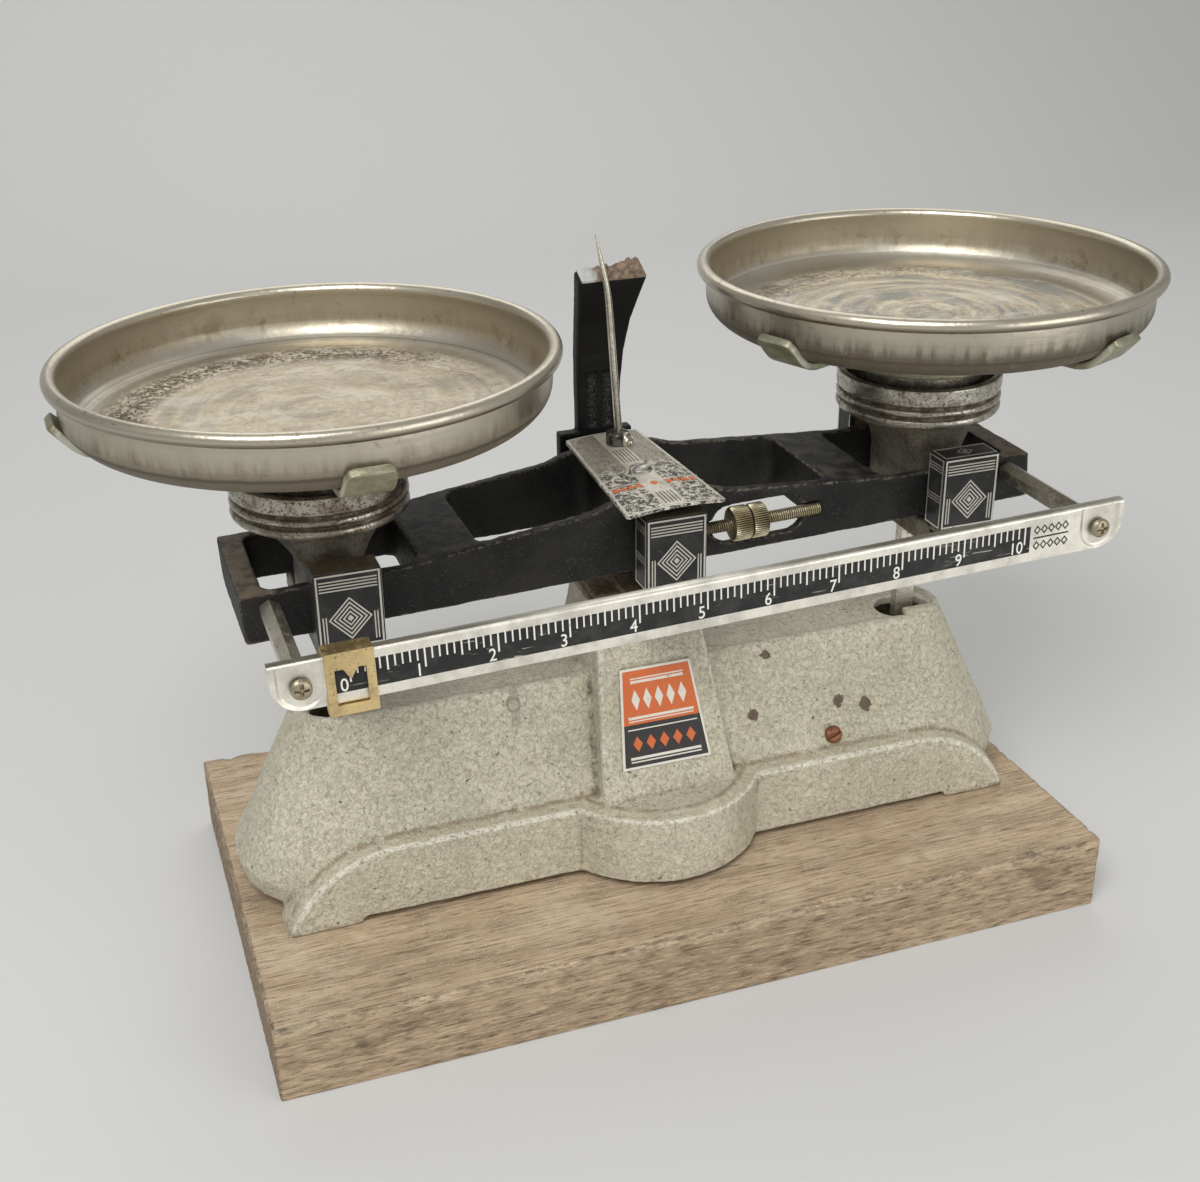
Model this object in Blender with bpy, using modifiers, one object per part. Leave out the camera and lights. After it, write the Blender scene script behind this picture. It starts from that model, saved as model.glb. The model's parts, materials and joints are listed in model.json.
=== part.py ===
# Trip balance: a cast beam on knife edges carries two pans over a long cast base, with a
# sliding poise on a scale in front and a pointer in front of an index arm behind.
# Metres, +Z up. The origin is the middle of the board's underside. The beam and its check
# link are modelled level about their pivots and then turned to their resting tilt.
import math

import bmesh
import bpy
from mathutils import Matrix, Vector

# Common values
GAP = 0.0003
OVERRUN = 0.002
REST_TILT = math.radians(1.8)
ROUND_STEPS = 40
SMALL_STEPS = 16

# Distance from the middle knife edges to the end ones
ARM = 0.104

# Board
BOARD_LENGTH = 0.290
BOARD_DEPTH = 0.164
BOARD_THICKNESS = 0.0275
BOARD_BEVEL = 0.0015
BOARD_SETBACK = 0.006

# Base casting, with heights above the board
BASE_HEIGHT = 0.0645
BASE_END_MARGIN = 0.015
BASE_TOP_HALF_LENGTH = ARM + BASE_END_MARGIN
BASE_TOP_HALF_DEPTH = 0.0145
BASE_DRAFT = 0.47
BASE_SETBACK = 0.004
BASE_FLARE_HEIGHT = 0.013
BASE_HEM_HEIGHT = 0.005
BASE_HEM_TUCK = 0.0015
BASE_WALL = 0.0045
BASE_LIP = 0.0022
BASE_LIP_DEPTH = 0.0008
PLINTH_OVERHANG = 0.0128
PLINTH_HALF_LENGTH = BASE_TOP_HALF_LENGTH + PLINTH_OVERHANG
PLINTH_FRONT = 0.038
PLINTH_HEIGHT = 0.0267
PLINTH_ARC_RUN = 0.038
PLINTH_LEDGE = 0.006
PLINTH_LEDGE_RISE = 0.0012
PLINTH_THICKNESS = 0.014
FOOT_LENGTH = 0.024
FOOT_STEP = 0.0023
BOSS_RADIUS = 0.0386
BOSS_REACH = 0.017
TOWER_HEIGHT = 0.088
TOWER_ROOT_HEIGHT = 0.020
TOWER_TOP_HALF_WIDTH = 0.018
TOWER_TOP_FRONT = 0.0148
TOWER_TOP_REAR = 0.013
TOWER_WIDTH_DRAFT = 0.1
TOWER_FRONT_DRAFT = 0.39
TOWER_REAR_DRAFT = 0.3
TOWER_CORNER = 0.0015
LABEL_DROP = 0.0185
LABEL_HEIGHT = 0.034
LABEL_TOP = TOWER_HEIGHT - LABEL_DROP
LABEL_BOTTOM = LABEL_TOP - LABEL_HEIGHT
LABEL_TOP_HALF_WIDTH = 0.0132
LABEL_BOTTOM_HALF_WIDTH = 0.0172
LABEL_RECESS = 0.0008
STEM_HOLE_LENGTH = 0.0205
STEM_HOLE_DEPTH = 0.016

# Knife edges and their bearings; the middle ones stand on the fork above the tower
FORK_HEIGHT = 0.0272
PIVOT_HEIGHT = TOWER_HEIGHT + FORK_HEIGHT
BEAM_HALF_WIDTH = 0.025
RAIL_THICKNESS = 0.0035
KNIFE_HALF_WIDTH = 0.0028
KNIFE_SHOULDER = 0.0035
KNIFE_DEPTH = 0.007
KNIFE_TAIL = 0.0013
KNIFE_SEAT = 0.0051
BEARING_HALF_WIDTH = 0.0080
BEARING_PLAY = 0.0034
BEARING_INNER = BEAM_HALF_WIDTH + BEARING_PLAY
BEARING_DEPTH = 0.0075
KNIFE_INNER = BEAM_HALF_WIDTH - RAIL_THICKNESS - KNIFE_TAIL
KNIFE_OUTER = BEARING_INNER + KNIFE_SEAT
BEARING_BACK = 0.008
BEARING_LIP = 0.0022
BEARING_GROOVE_HALF = 0.0042

# Bearing caps
CAP_SIDE_PLAY = 0.0012
CAP_WALL = 0.001
CAP_WIDTH = 2 * (BEARING_HALF_WIDTH + CAP_SIDE_PLAY + CAP_WALL)
CAP_DEPTH = 0.010
CAP_FRONT = BEARING_INNER + BEARING_DEPTH + GAP + CAP_WALL
END_CAP_TOP = 0.0161
END_CAP_HEIGHT = 0.025
CENTRE_CAP_TOP = 0.0140
CENTRE_CAP_HEIGHT = 0.0245
CAP_BEVEL = 0.0006

# Beam, with heights from the knife edges
BEAM_END = 0.0305
BEAM_HALF_LENGTH = ARM + BEAM_END
BEAM_BOTTOM = 0.008
BEAM_END_TOP = 0.008
BEAM_SHOULDER_TOP = 0.0140
BEAM_CENTRE_TOP = 0.0172
BEAM_SHOULDER = 0.026
BEAM_CENTRE_PAD = 0.013
BEAM_FLAT_INSET = 0.019
BEAM_FLAT = ARM - BEAM_FLAT_INSET
END_BAR = 0.0075
CROSS_BAR_INSET = 0.0255
CROSS_BAR_WIDTH = 0.019
CROSS_BAR_OUTER = ARM - CROSS_BAR_INSET
CROSS_BAR_INNER = CROSS_BAR_OUTER - CROSS_BAR_WIDTH
CENTRE_WEB = 0.009
POCKET_RADIUS = 0.004
BEAM_BEVEL = 0.0008

# Balance rod and nuts
ROD_HEIGHT = 0.0022
NUT_RADIUS = 0.0057
NUT_PLAY = 0.0009
SLOT_START = 0.0172
SLOT_LENGTH = 0.0328
SLOT_END = SLOT_START + SLOT_LENGTH
SLOT_HEIGHT = 2 * (NUT_RADIUS + NUT_PLAY)
BALANCE_ROD_RADIUS = 0.0021
BALANCE_ROD_SEAT = 0.0035
BALANCE_ROD_TAIL = 0.0055
BALANCE_ROD_START = SLOT_START - BALANCE_ROD_SEAT
BALANCE_ROD_END = SLOT_END + BALANCE_ROD_TAIL
NUT_SETBACK = 0.0064
NUT_START = SLOT_START + NUT_SETBACK
NUT_LENGTH = 0.0062
LOCK_NUT_LENGTH = 0.0058
NUT_TEETH = 24
NUT_TOOTH = 0.0004

# Scale strip, its rods and the poise
HEX_ROD_INSET = 0.0087
HEX_ROD_PLACE = BEAM_HALF_LENGTH - HEX_ROD_INSET
STRIP_END = 0.0084
STRIP_HALF_LENGTH = HEX_ROD_PLACE + STRIP_END
STRIP_BOTTOM = 0.0040
STRIP_TOP = 0.0109
STRIP_THICKNESS = 0.0012
STRIP_FRONT = 0.0773
STRIP_CORNER = 0.009
STRIP_FLANGE = 0.0035
HEX_ROD_FLATS = 0.006
HEX_ROD_HEIGHT = 0.0029
STRIP_SCREW_HEAD = 0.0031
STRIP_SCREW_HEAD_HEIGHT = 0.0016
STRIP_SCREW_SHANK = 0.0013
STRIP_SCREW_REACH = 0.006
SCALE_INSET = 0.0137
SCALE_ZERO = HEX_ROD_PLACE - SCALE_INSET
SCALE_SPAN = 0.2111
POISE_WIDTH = 0.014
POISE_TOP = 0.0012
POISE_BOTTOM = 0.0032
POISE_SHEET = 0.001
POISE_PLAY = 0.0006
POISE_HOOK = 0.004
POISE_WINDOW_HALF = 0.0044
POISE_WINDOW_BOTTOM = 0.0028
POISE_WINDOW_TOP = 0.0040
POISE_TIP = 0.0034
POISE_TIP_HALF = 0.002

# Centre plate and pointer
PLATE_THICKNESS = 0.001
PLATE_FRONT = 0.0390
PLATE_REAR = 0.0310
PLATE_FRONT_HALF = 0.0166
PLATE_REAR_HALF = 0.0132
PLATE_CORNER = 0.002
PLATE_SCREW_PLACE = 0.007
PLATE_SCREW_RADIUS = 0.0038
PLATE_SCREW_HEIGHT = 0.0018
PLATE_SCREW_SHANK = 0.0018
PLATE_SCREW_REACH = 0.009
HUB_PLACE = 0.0196
HUB_OFFSET = 0.0024
HUB_RADIUS = 0.0040
HUB_HEIGHT = 0.0058
HUB_SCREW_RADIUS = 0.0025
HUB_SCREW_HEIGHT = 0.0014
HUB_SCREW_TURN = math.radians(30)
NEEDLE_RADIUS = 0.00135
NEEDLE_BEND_RADIUS = 0.00115
NEEDLE_TIP_RADIUS = 0.0003
NEEDLE_BEND_HEIGHT = 0.0712
NEEDLE_TIP_HEIGHT = 0.0903
NEEDLE_BEND_SHIFT = 0.0017
NEEDLE_TIP_SHIFT = 0.0052

# Index arm behind the beam
INDEX_FOOT_HALF_WIDTH = 0.0133
INDEX_FOOT_PLAY = 0.0005
INDEX_FOOT_FRONT = CAP_FRONT + INDEX_FOOT_PLAY
INDEX_FOOT_THICKNESS = 0.0045
INDEX_FOOT_LIFT = 0.0005
INDEX_FOOT_HEIGHT = 0.044
INDEX_FOOT_BOTTOM = TOWER_HEIGHT + INDEX_FOOT_LIFT
INDEX_FOOT_TOP = INDEX_FOOT_BOTTOM + INDEX_FOOT_HEIGHT
INDEX_POST_OFFSET = 0.0014
INDEX_POST_HALF_WIDTH = 0.0078
INDEX_TOP_HALF_WIDTH = 0.0120
INDEX_POST_THICKNESS = 0.0055
INDEX_TOP_THICKNESS = 0.006
INDEX_LEAN = 0.0157
INDEX_TOP_FRONT = INDEX_FOOT_FRONT - INDEX_LEAN
INDEX_POST_HEIGHT = 0.057
INDEX_TOP_HEIGHT = INDEX_FOOT_TOP + INDEX_POST_HEIGHT
INDEX_TOP_RISE = 0.0030
FLUTE_SPACING = 0.0056
FLUTE_RADIUS = 0.0022
FLUTE_DEPTH = 0.0009
FLUTE_LIFT = 0.0017
FLUTE_LENGTH = 0.0198
FLUTE_BOTTOM = INDEX_FOOT_TOP + FLUTE_LIFT
FLUTE_TOP = FLUTE_BOTTOM + FLUTE_LENGTH

# Fork that stands on the base and holds the centre bearings
FORK_HALF_WIDTH = 0.0084
FORK_THICKNESS = 0.006
FORK_FOOT_HALF_WIDTH = 0.0165
FORK_FOOT_HALF_DEPTH = 0.0115
FORK_FOOT_THICKNESS = 0.0035
SCREW_HEAD = 0.0030
SCREW_HEAD_HEIGHT = 0.0020
SCREW_SHANK = 0.0015
SCREW_REACH = 0.005
ARM_SCREW_PLACE = 0.0046
SIDE_SCREW_PLACE = 0.0647
SIDE_SCREW_HEIGHT = 0.0315

# Pan supports, with heights from the knife edges
NECK_HALF_WIDTH = 0.0087
NECK_HALF_DEPTH = 0.0173
NECK_SQUARE = 0.0020
HEAD_BOTTOM = 0.0220
HEAD_RADIUS = 0.0278
NECK_SETBACK = 0.0046
NECK_TOP_RADIUS = HEAD_RADIUS - NECK_SETBACK
HEAD_HEIGHT = 0.0142
HEAD_GROOVE = 0.0010
HEAD_RIM = 0.0025
HEAD_CHANNEL_DEPTH = 0.004
HEAD_CHANNEL = 0.0043
HEAD_SEAT_RADIUS = HEAD_RADIUS - HEAD_RIM - HEAD_CHANNEL
HEAD_SEAT_RISE = 0.0022
YOKE_TOP = 0.011
YOKE_THICKNESS = 0.008
YOKE_HALF_WIDTH = 0.0084
YOKE_LEG = 0.0038
STEM_WIDTH = 0.007
STEM_DEPTH = 0.004

# Check link in the base
CHECK_HEIGHT = 0.034
STEM_TAIL = 0.006
STEM_BOTTOM_HEIGHT = CHECK_HEIGHT - STEM_TAIL
CHECK_LINK_HALF_HEIGHT = 0.004
CHECK_LINK_THICKNESS = 0.003
CHECK_LINK_PLAY = 0.0006
CHECK_PIN_RADIUS = 0.0015
CHECK_PIN_HEAD = 0.003
CHECK_PIVOT_RADIUS = 0.002
CHECK_CLEARANCE = 0.00025
CHECK_PIVOT_SEAT = 0.002

# Spiders and pans
SPIDER_HUB_RADIUS = 0.0255
SPIDER_HUB_HEIGHT = 0.0116
SPIDER_ARM_WIDTH = 0.015
SPIDER_ARM_THICKNESS = 0.0025
SPIDER_LIP_RISE = 0.0100
SPIDER_LIP_RUN = 0.009
SPIDER_LIP_PLAY = 0.0032
SPIDER_LEFT_TURN = math.radians(2)
SPIDER_RIGHT_TURN = math.radians(23)
PAN_RADIUS = 0.0762
PAN_BEAD = 0.0022
PAN_WALL = 0.0009
PAN_BEAD_OFFSET = 0.001
PAN_CORNER_RUN = 0.011
PAN_WALL_RADIUS = PAN_RADIUS - PAN_BEAD - PAN_BEAD_OFFSET
PAN_FLOOR_RADIUS = PAN_WALL_RADIUS - PAN_CORNER_RUN
SPIDER_REACH = PAN_WALL_RADIUS + SPIDER_LIP_PLAY
SPIDER_BEND = SPIDER_REACH - SPIDER_LIP_RUN
PAN_CORNER_RISE = 0.009
PAN_HEIGHT = 0.018
PAN_STEP_INSET = 0.0075
PAN_STEP_RADIUS = PAN_FLOOR_RADIUS - PAN_STEP_INSET
PAN_STEP_RISE = 0.0006
PAN_STEP_RUN = 0.001
PAN_STEPS = 56

parts = bpy.data.collections.new("trip_balance")
cutters = bpy.data.collections.new("cutters")


def clear_scene():
    for obj in list(bpy.data.objects):
        bpy.data.objects.remove(obj, do_unlink=True)
    for collection in (parts, cutters):
        bpy.context.scene.collection.children.link(collection)


def material(name, colour, roughness, metallic):
    mat = bpy.data.materials.new(name)
    mat.use_nodes = True
    shader = mat.node_tree.nodes["Principled BSDF"]
    shader.inputs["Base Color"].default_value = (*colour, 1.0)
    shader.inputs["Roughness"].default_value = roughness
    shader.inputs["Metallic"].default_value = metallic
    return mat


def pivot(name, place, parent=None, turn=0.0):
    empty = bpy.data.objects.new(name, None)
    parts.objects.link(empty)
    empty.location = place
    empty.rotation_euler = (0.0, turn, 0.0)
    empty.parent = parent
    return empty


def add(name, mesh, parent, mat=None):
    """An object of the model, or a cutter where it has no material."""
    obj = bpy.data.objects.new(name, mesh)
    obj.parent = parent
    if mat:
        parts.objects.link(obj)
        mesh.materials.append(mat)
        mesh.shade_smooth()
        mesh.set_sharp_from_angle(angle=math.radians(35))
    else:
        cutters.objects.link(obj)
        obj.hide_render = True
        obj.display_type = "WIRE"
    return obj


def finish_mesh(bm, name):
    mesh = bpy.data.meshes.new(name)
    bmesh.ops.recalc_face_normals(bm, faces=bm.faces)
    bm.to_mesh(mesh)
    bm.free()
    return mesh


def bevel(obj, width, segments=1):
    modifier = obj.modifiers.new("bevel", "BEVEL")
    modifier.width = width
    modifier.segments = segments
    modifier.limit_method = "ANGLE"
    modifier.angle_limit = math.radians(40)


def block(name, low, high, parent, mat=None):
    size = Vector(high) - Vector(low)
    centre = (Vector(high) + Vector(low)) / 2
    bm = bmesh.new()
    bmesh.ops.create_cube(bm, size=1.0, matrix=Matrix.Translation(centre) @ Matrix.Diagonal((*size, 1.0)))
    return add(name, finish_mesh(bm, name), parent, mat)


def bar(name, start, end, radius, parent, mat=None, sides=SMALL_STEPS, end_radius=None, turn=0.0):
    start, end = Vector(start), Vector(end)
    run = end - start
    place = Matrix.Translation((start + end) / 2) @ run.to_track_quat("Z", "Y").to_matrix().to_4x4()
    bm = bmesh.new()
    bmesh.ops.create_cone(
        bm, cap_ends=True, segments=sides, radius1=radius,
        radius2=radius if end_radius is None else end_radius,
        depth=run.length, matrix=place @ Matrix.Rotation(turn, 4, "Z"))
    return add(name, finish_mesh(bm, name), parent, mat)


def turned(name, profile, parent, mat=None, steps=ROUND_STEPS, place=None):
    """A profile of (radius, height) points turned about Z, listed down its outer side."""
    mesh = bpy.data.meshes.new(name)
    mesh.from_pydata([(r, 0.0, z) for r, z in profile], [(i, i + 1) for i in range(len(profile) - 1)], [])
    obj = add(name, mesh, parent, mat)
    if place is not None:
        obj.matrix_local = place
    screw = obj.modifiers.new("turn", "SCREW")
    screw.axis = "Z"
    screw.steps = screw.render_steps = steps
    screw.use_merge_vertices = True
    screw.merge_threshold = 0.00001
    screw.use_smooth_shade = True
    return obj


def cut_from_outline(name, outline, thickness, place, parent, mat=None):
    """A flat outline given thickness about its own plane, and then put in place."""
    curve = bpy.data.curves.new(name, "CURVE")
    curve.dimensions = "2D"
    curve.fill_mode = "BOTH"
    curve.extrude = thickness / 2
    spline = curve.splines.new("POLY")
    spline.points.add(len(outline) - 1)
    for point, (x, y) in zip(spline.points, outline):
        point.co = (x, y, 0.0, 1.0)
    spline.use_cyclic_u = True
    source = bpy.data.objects.new(name, curve)
    parts.objects.link(source)
    bpy.context.view_layer.update()
    mesh = bpy.data.meshes.new_from_object(source.evaluated_get(bpy.context.evaluated_depsgraph_get()))
    bpy.data.objects.remove(source)
    bpy.data.curves.remove(curve)
    bm = bmesh.new()
    bm.from_mesh(mesh)
    bpy.data.meshes.remove(mesh)
    bmesh.ops.remove_doubles(bm, verts=bm.verts, dist=GAP / 30)
    bmesh.ops.transform(bm, matrix=place, verts=bm.verts)
    return add(name, finish_mesh(bm, name), parent, mat)


def loft(name, rings, parent, mat=None):
    """A skin through rings of equal point counts, closed at both ends."""
    bm = bmesh.new()
    rows = [[bm.verts.new(point) for point in ring] for ring in rings]
    count = len(rings[0])
    for lower, upper in zip(rows, rows[1:]):
        for i in range(count):
            j = (i + 1) % count
            bm.faces.new((lower[i], lower[j], upper[j], upper[i]))
    bm.faces.new(list(reversed(rows[0])))
    bm.faces.new(rows[-1])
    return add(name, finish_mesh(bm, name), parent, mat)


def combine(obj, tool, operation="DIFFERENCE"):
    modifier = obj.modifiers.new(operation.lower(), "BOOLEAN")
    modifier.operation = operation
    modifier.object = tool


def arc(centre, radii, start, end, count):
    """Points on an ellipse's arc between two angles in degrees."""
    angles = [math.radians(start + (end - start) * i / count) for i in range(count + 1)]
    return [(centre[0] + radii[0] * math.cos(a), centre[1] + radii[1] * math.sin(a)) for a in angles]


def rounded(half_x, half_y, radius, count=4, centre=(0.0, 0.0)):
    """A rectangle with round corners, anticlockwise."""
    x, y = half_x - radius, half_y - radius
    points = []
    for quarter, (cx, cy) in enumerate(((x, y), (-x, y), (-x, -y), (x, -y))):
        middle = (centre[0] + cx, centre[1] + cy)
        points += arc(middle, (radius, radius), 90 * quarter, 90 * quarter + 90, count)
    return points


def stadium(half_length, half_depth, centre_y, z, count=12):
    """A straight-sided ring with half-round ends, at one height."""
    reach = half_length - half_depth
    ends = arc((reach, centre_y), (half_depth, half_depth), -90, 90, count)
    ends += arc((-reach, centre_y), (half_depth, half_depth), 90, 270, count)
    return [(x, y, z) for x, y in ends]


def squircle(half_x, half_y, power, z, count=40):
    """A ring that runs from an ellipse, at power 2, towards a rectangle as the power grows."""
    ring = []
    for i in range(count):
        a = 2 * math.pi * (i + 0.5) / count
        c, s = math.cos(a), math.sin(a)
        x = half_x * math.copysign(abs(c) ** (2 / power), c)
        y = half_y * math.copysign(abs(s) ** (2 / power), s)
        ring.append((x, y, z))
    return ring


# XZ maps an outline's x and y to the model's x and z, with its thickness along y
XZ = Matrix(((1, 0, 0, 0), (0, 0, -1, 0), (0, 1, 0, 0), (0, 0, 0, 1)))
# YZ maps an outline's x and y to the model's y and z, with its thickness along x
YZ = Matrix(((0, 0, 1, 0), (1, 0, 0, 0), (0, 1, 0, 0), (0, 0, 0, 1)))


def make_board(root):
    wood = material("weathered_wood", (0.30, 0.21, 0.13), 0.8, 0.0)
    x, y = BOARD_LENGTH / 2, BOARD_DEPTH / 2
    board = block("wooden_board", (-x, BOARD_SETBACK - y, 0.0), (x, BOARD_SETBACK + y, BOARD_THICKNESS), root, wood)
    bevel(board, BOARD_BEVEL)


def body_flare(z):
    """How far the body has spread outwards at a height above the board."""
    return (BASE_HEIGHT - max(z, BASE_FLARE_HEIGHT)) * BASE_DRAFT


def body_ring(z, inset=0.0):
    spread = body_flare(z)
    depth = min(BASE_TOP_HALF_DEPTH + spread, PLINTH_FRONT - BASE_HEM_TUCK)
    tuck = BASE_HEM_TUCK if z < BASE_FLARE_HEIGHT else 0.0
    return stadium(BASE_TOP_HALF_LENGTH + spread - inset - tuck, depth - inset - tuck, BASE_SETBACK, z)


def plinth_outline(half_length, height):
    """The arched side view of the plinth: a flat top that curves down to both feet."""
    run = PLINTH_ARC_RUN
    radius = (run ** 2 + height ** 2) / (2 * height)
    sweep = math.degrees(math.asin(run / radius))
    right = arc((half_length - run, height - radius), (radius, radius), 90, 90 - sweep, 10)
    return [(-x, z) for x, z in reversed(right)] + right


def plinth(name, side, base):
    """One long side's plinth: front face, ledge and the part that runs into the body."""
    rings = []
    for inward, grow, rise in ((0.0, 0.0, 0.0), (PLINTH_LEDGE, PLINTH_LEDGE_RISE, PLINTH_LEDGE_RISE),
                               (PLINTH_THICKNESS, PLINTH_LEDGE_RISE, PLINTH_LEDGE_RISE)):
        y = BASE_SETBACK + side * (PLINTH_FRONT - inward)
        outline = plinth_outline(PLINTH_HALF_LENGTH + grow, PLINTH_HEIGHT + rise)
        rings.append([(x, y, z + GAP) for x, z in outline])
    return loft(name, rings, base)


def tower_ring(z, inset=0.0):
    """The tower's section: a rectangle with small corners, which widens downwards."""
    down = TOWER_HEIGHT - z
    half_width = TOWER_TOP_HALF_WIDTH + down * TOWER_WIDTH_DRAFT - inset
    front = BASE_SETBACK - TOWER_TOP_FRONT - down * TOWER_FRONT_DRAFT + inset
    rear = BASE_SETBACK + TOWER_TOP_REAR + down * TOWER_REAR_DRAFT - inset
    ring = rounded(half_width, (rear - front) / 2, TOWER_CORNER, 2, (0.0, (rear + front) / 2))
    return [(x, y, z) for x, y in ring]


def tower_face(z):
    """The y of the tower's front face at a height above the board."""
    return BASE_SETBACK - TOWER_TOP_FRONT - (TOWER_HEIGHT - z) * TOWER_FRONT_DRAFT


def make_base(base, cast):
    heights = (BASE_HEM_HEIGHT, BASE_FLARE_HEIGHT, (BASE_FLARE_HEIGHT + PLINTH_HEIGHT) / 2, PLINTH_HEIGHT,
               BASE_HEIGHT)
    body = loft("base_casting", [body_ring(z) for z in heights], base, cast)
    bevel(body, BASE_LIP / 2, 2)
    combine(body, plinth("front_plinth", -1, base), "UNION")
    combine(body, plinth("rear_plinth", 1, base), "UNION")

    # Half-round boss in the middle of the front plinth
    boss_y = BASE_SETBACK - PLINTH_FRONT - BOSS_REACH + BOSS_RADIUS
    boss_top = PLINTH_HEIGHT + PLINTH_LEDGE_RISE
    boss = turned("front_boss", [
        (0.0, boss_top), (BOSS_RADIUS - PLINTH_LEDGE, boss_top), (BOSS_RADIUS, PLINTH_HEIGHT),
        (BOSS_RADIUS, GAP), (0.0, GAP)], base, steps=48, place=Matrix.Translation((0.0, boss_y, 0.0)))
    combine(body, boss, "UNION")
    tower = loft("tower", [tower_ring(z) for z in (TOWER_ROOT_HEIGHT, TOWER_HEIGHT)], base)
    combine(body, tower, "UNION")

    # The casting is a shell, open underneath
    inner_heights = (-OVERRUN, BASE_FLARE_HEIGHT, PLINTH_HEIGHT, BASE_HEIGHT - BASE_WALL)
    combine(body, loft("base_hollow", [body_ring(z, BASE_WALL) for z in inner_heights], base))
    tower_hollow = [tower_ring(z, BASE_WALL) for z in (TOWER_ROOT_HEIGHT, TOWER_HEIGHT - BASE_WALL)]
    combine(body, loft("tower_hollow", tower_hollow, base))
    boss_hollow = bar("boss_hollow", (0.0, boss_y, -OVERRUN), (0.0, boss_y, TOWER_ROOT_HEIGHT),
                      BOSS_RADIUS - BASE_WALL, base, sides=48)
    combine(body, boss_hollow)

    # The feet stand at the corners, and the bottom edge between them is a step higher
    foot_x = PLINTH_HALF_LENGTH - FOOT_LENGTH
    far = PLINTH_FRONT + BOSS_REACH + OVERRUN
    step = block("foot_step", (-foot_x, BASE_SETBACK - far, -OVERRUN), (foot_x, BASE_SETBACK + far, FOOT_STEP), base)
    combine(body, step)

    # Sunk top between two lips on each side of the tower, and the holes for the stems
    for side, word in ((-1, "left"), (1, "right")):
        inner = TOWER_TOP_HALF_WIDTH + (TOWER_HEIGHT - BASE_HEIGHT) * TOWER_WIDTH_DRAFT
        outer = BASE_TOP_HALF_LENGTH - BASE_LIP
        depth = BASE_TOP_HALF_DEPTH - BASE_LIP
        ring = rounded((outer - inner) / 2, depth, depth - GAP, 8, (side * (outer + inner) / 2, BASE_SETBACK))
        sunk = cut_from_outline(
            word + "_sunk_top", ring, 2 * BASE_LIP_DEPTH, Matrix.Translation((0.0, 0.0, BASE_HEIGHT)), base)
        combine(body, sunk)
        hole = rounded(STEM_HOLE_LENGTH / 2, STEM_HOLE_DEPTH / 2, STEM_HOLE_DEPTH / 2 - GAP, 6, (side * ARM, 0.0))
        hole = cut_from_outline(
            word + "_stem_hole", hole, 2 * (BASE_WALL + OVERRUN), Matrix.Translation((0.0, 0.0, BASE_HEIGHT)), base)
        combine(body, hole)

    # Sunk place for the label on the tower's sloping front
    slope = math.hypot(1.0, TOWER_FRONT_DRAFT)
    half = (LABEL_TOP - LABEL_BOTTOM) * slope / 2
    label = [(-LABEL_BOTTOM_HALF_WIDTH, -half), (LABEL_BOTTOM_HALF_WIDTH, -half),
             (LABEL_TOP_HALF_WIDTH, half), (-LABEL_TOP_HALF_WIDTH, half)]
    middle = (LABEL_TOP + LABEL_BOTTOM) / 2
    lean = Matrix.Rotation(-math.atan(TOWER_FRONT_DRAFT), 4, "X")
    place = Matrix.Translation((0.0, tower_face(middle), middle)) @ lean @ XZ
    combine(body, cut_from_outline("label_recess", label, 2 * LABEL_RECESS, place, base))
    return body


def make_side_screw(base, body, steel):
    """The slotted screw on the body's sloping front, right of the tower."""
    z = SIDE_SCREW_HEIGHT
    y = BASE_SETBACK - BASE_TOP_HALF_DEPTH - body_flare(z)
    outward = Vector((0.0, -1.0, BASE_DRAFT)).normalized()
    seat = Vector((SIDE_SCREW_PLACE, y, z)) + outward * GAP
    inner = seat - outward * (BASE_WALL / 2)
    combine(body, bar("side_screw_hole", inner - outward * GAP, seat + outward * OVERRUN, SCREW_SHANK + GAP, base))
    make_screw("side_screw", seat, outward, SCREW_HEAD, SCREW_HEAD_HEIGHT, SCREW_SHANK, BASE_WALL / 2, base, steel)


def make_screw(name, seat, outward, head, height, shank, reach, parent, mat):
    """A domed screw whose head seats at a point, with its shank the other way."""
    profile = [(0.0, height), (head * 0.55, height * 0.86), (head * 0.88, height * 0.5), (head, 0.0),
               (shank, 0.0), (shank, -reach), (0.0, -reach)]
    place = Matrix.Translation(seat) @ Vector(outward).to_track_quat("Z", "Y").to_matrix().to_4x4()
    return turned(name, profile, parent, mat, SMALL_STEPS, place)


def knife_outline(up, clearance=0.0):
    """A five-sided knife whose edge lies at the origin, pointing up or down."""
    w, s, d = KNIFE_HALF_WIDTH + clearance, KNIFE_SHOULDER, KNIFE_DEPTH + clearance
    points = [(0.0, clearance), (-w, -s + clearance), (-w, -d), (w, -d), (w, -s + clearance)]
    return [(x, z if up else -z) for x, z in points]


def bearing_outline(up):
    """A block with a V groove for the knife, at the origin, whose mouth opens down or up."""
    w, g = BEARING_HALF_WIDTH, BEARING_GROOVE_HALF
    points = [(-w, BEARING_BACK), (-w, -BEARING_LIP), (-g, -BEARING_LIP), (0.0, GAP), (g, -BEARING_LIP),
              (w, -BEARING_LIP), (w, BEARING_BACK)]
    return [(x, z if up else -z) for x, z in points]


def knife_centre(side):
    return side * (KNIFE_INNER + KNIFE_OUTER) / 2


def bearing_centre(side):
    return side * (BEARING_INNER + BEARING_DEPTH / 2)


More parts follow.
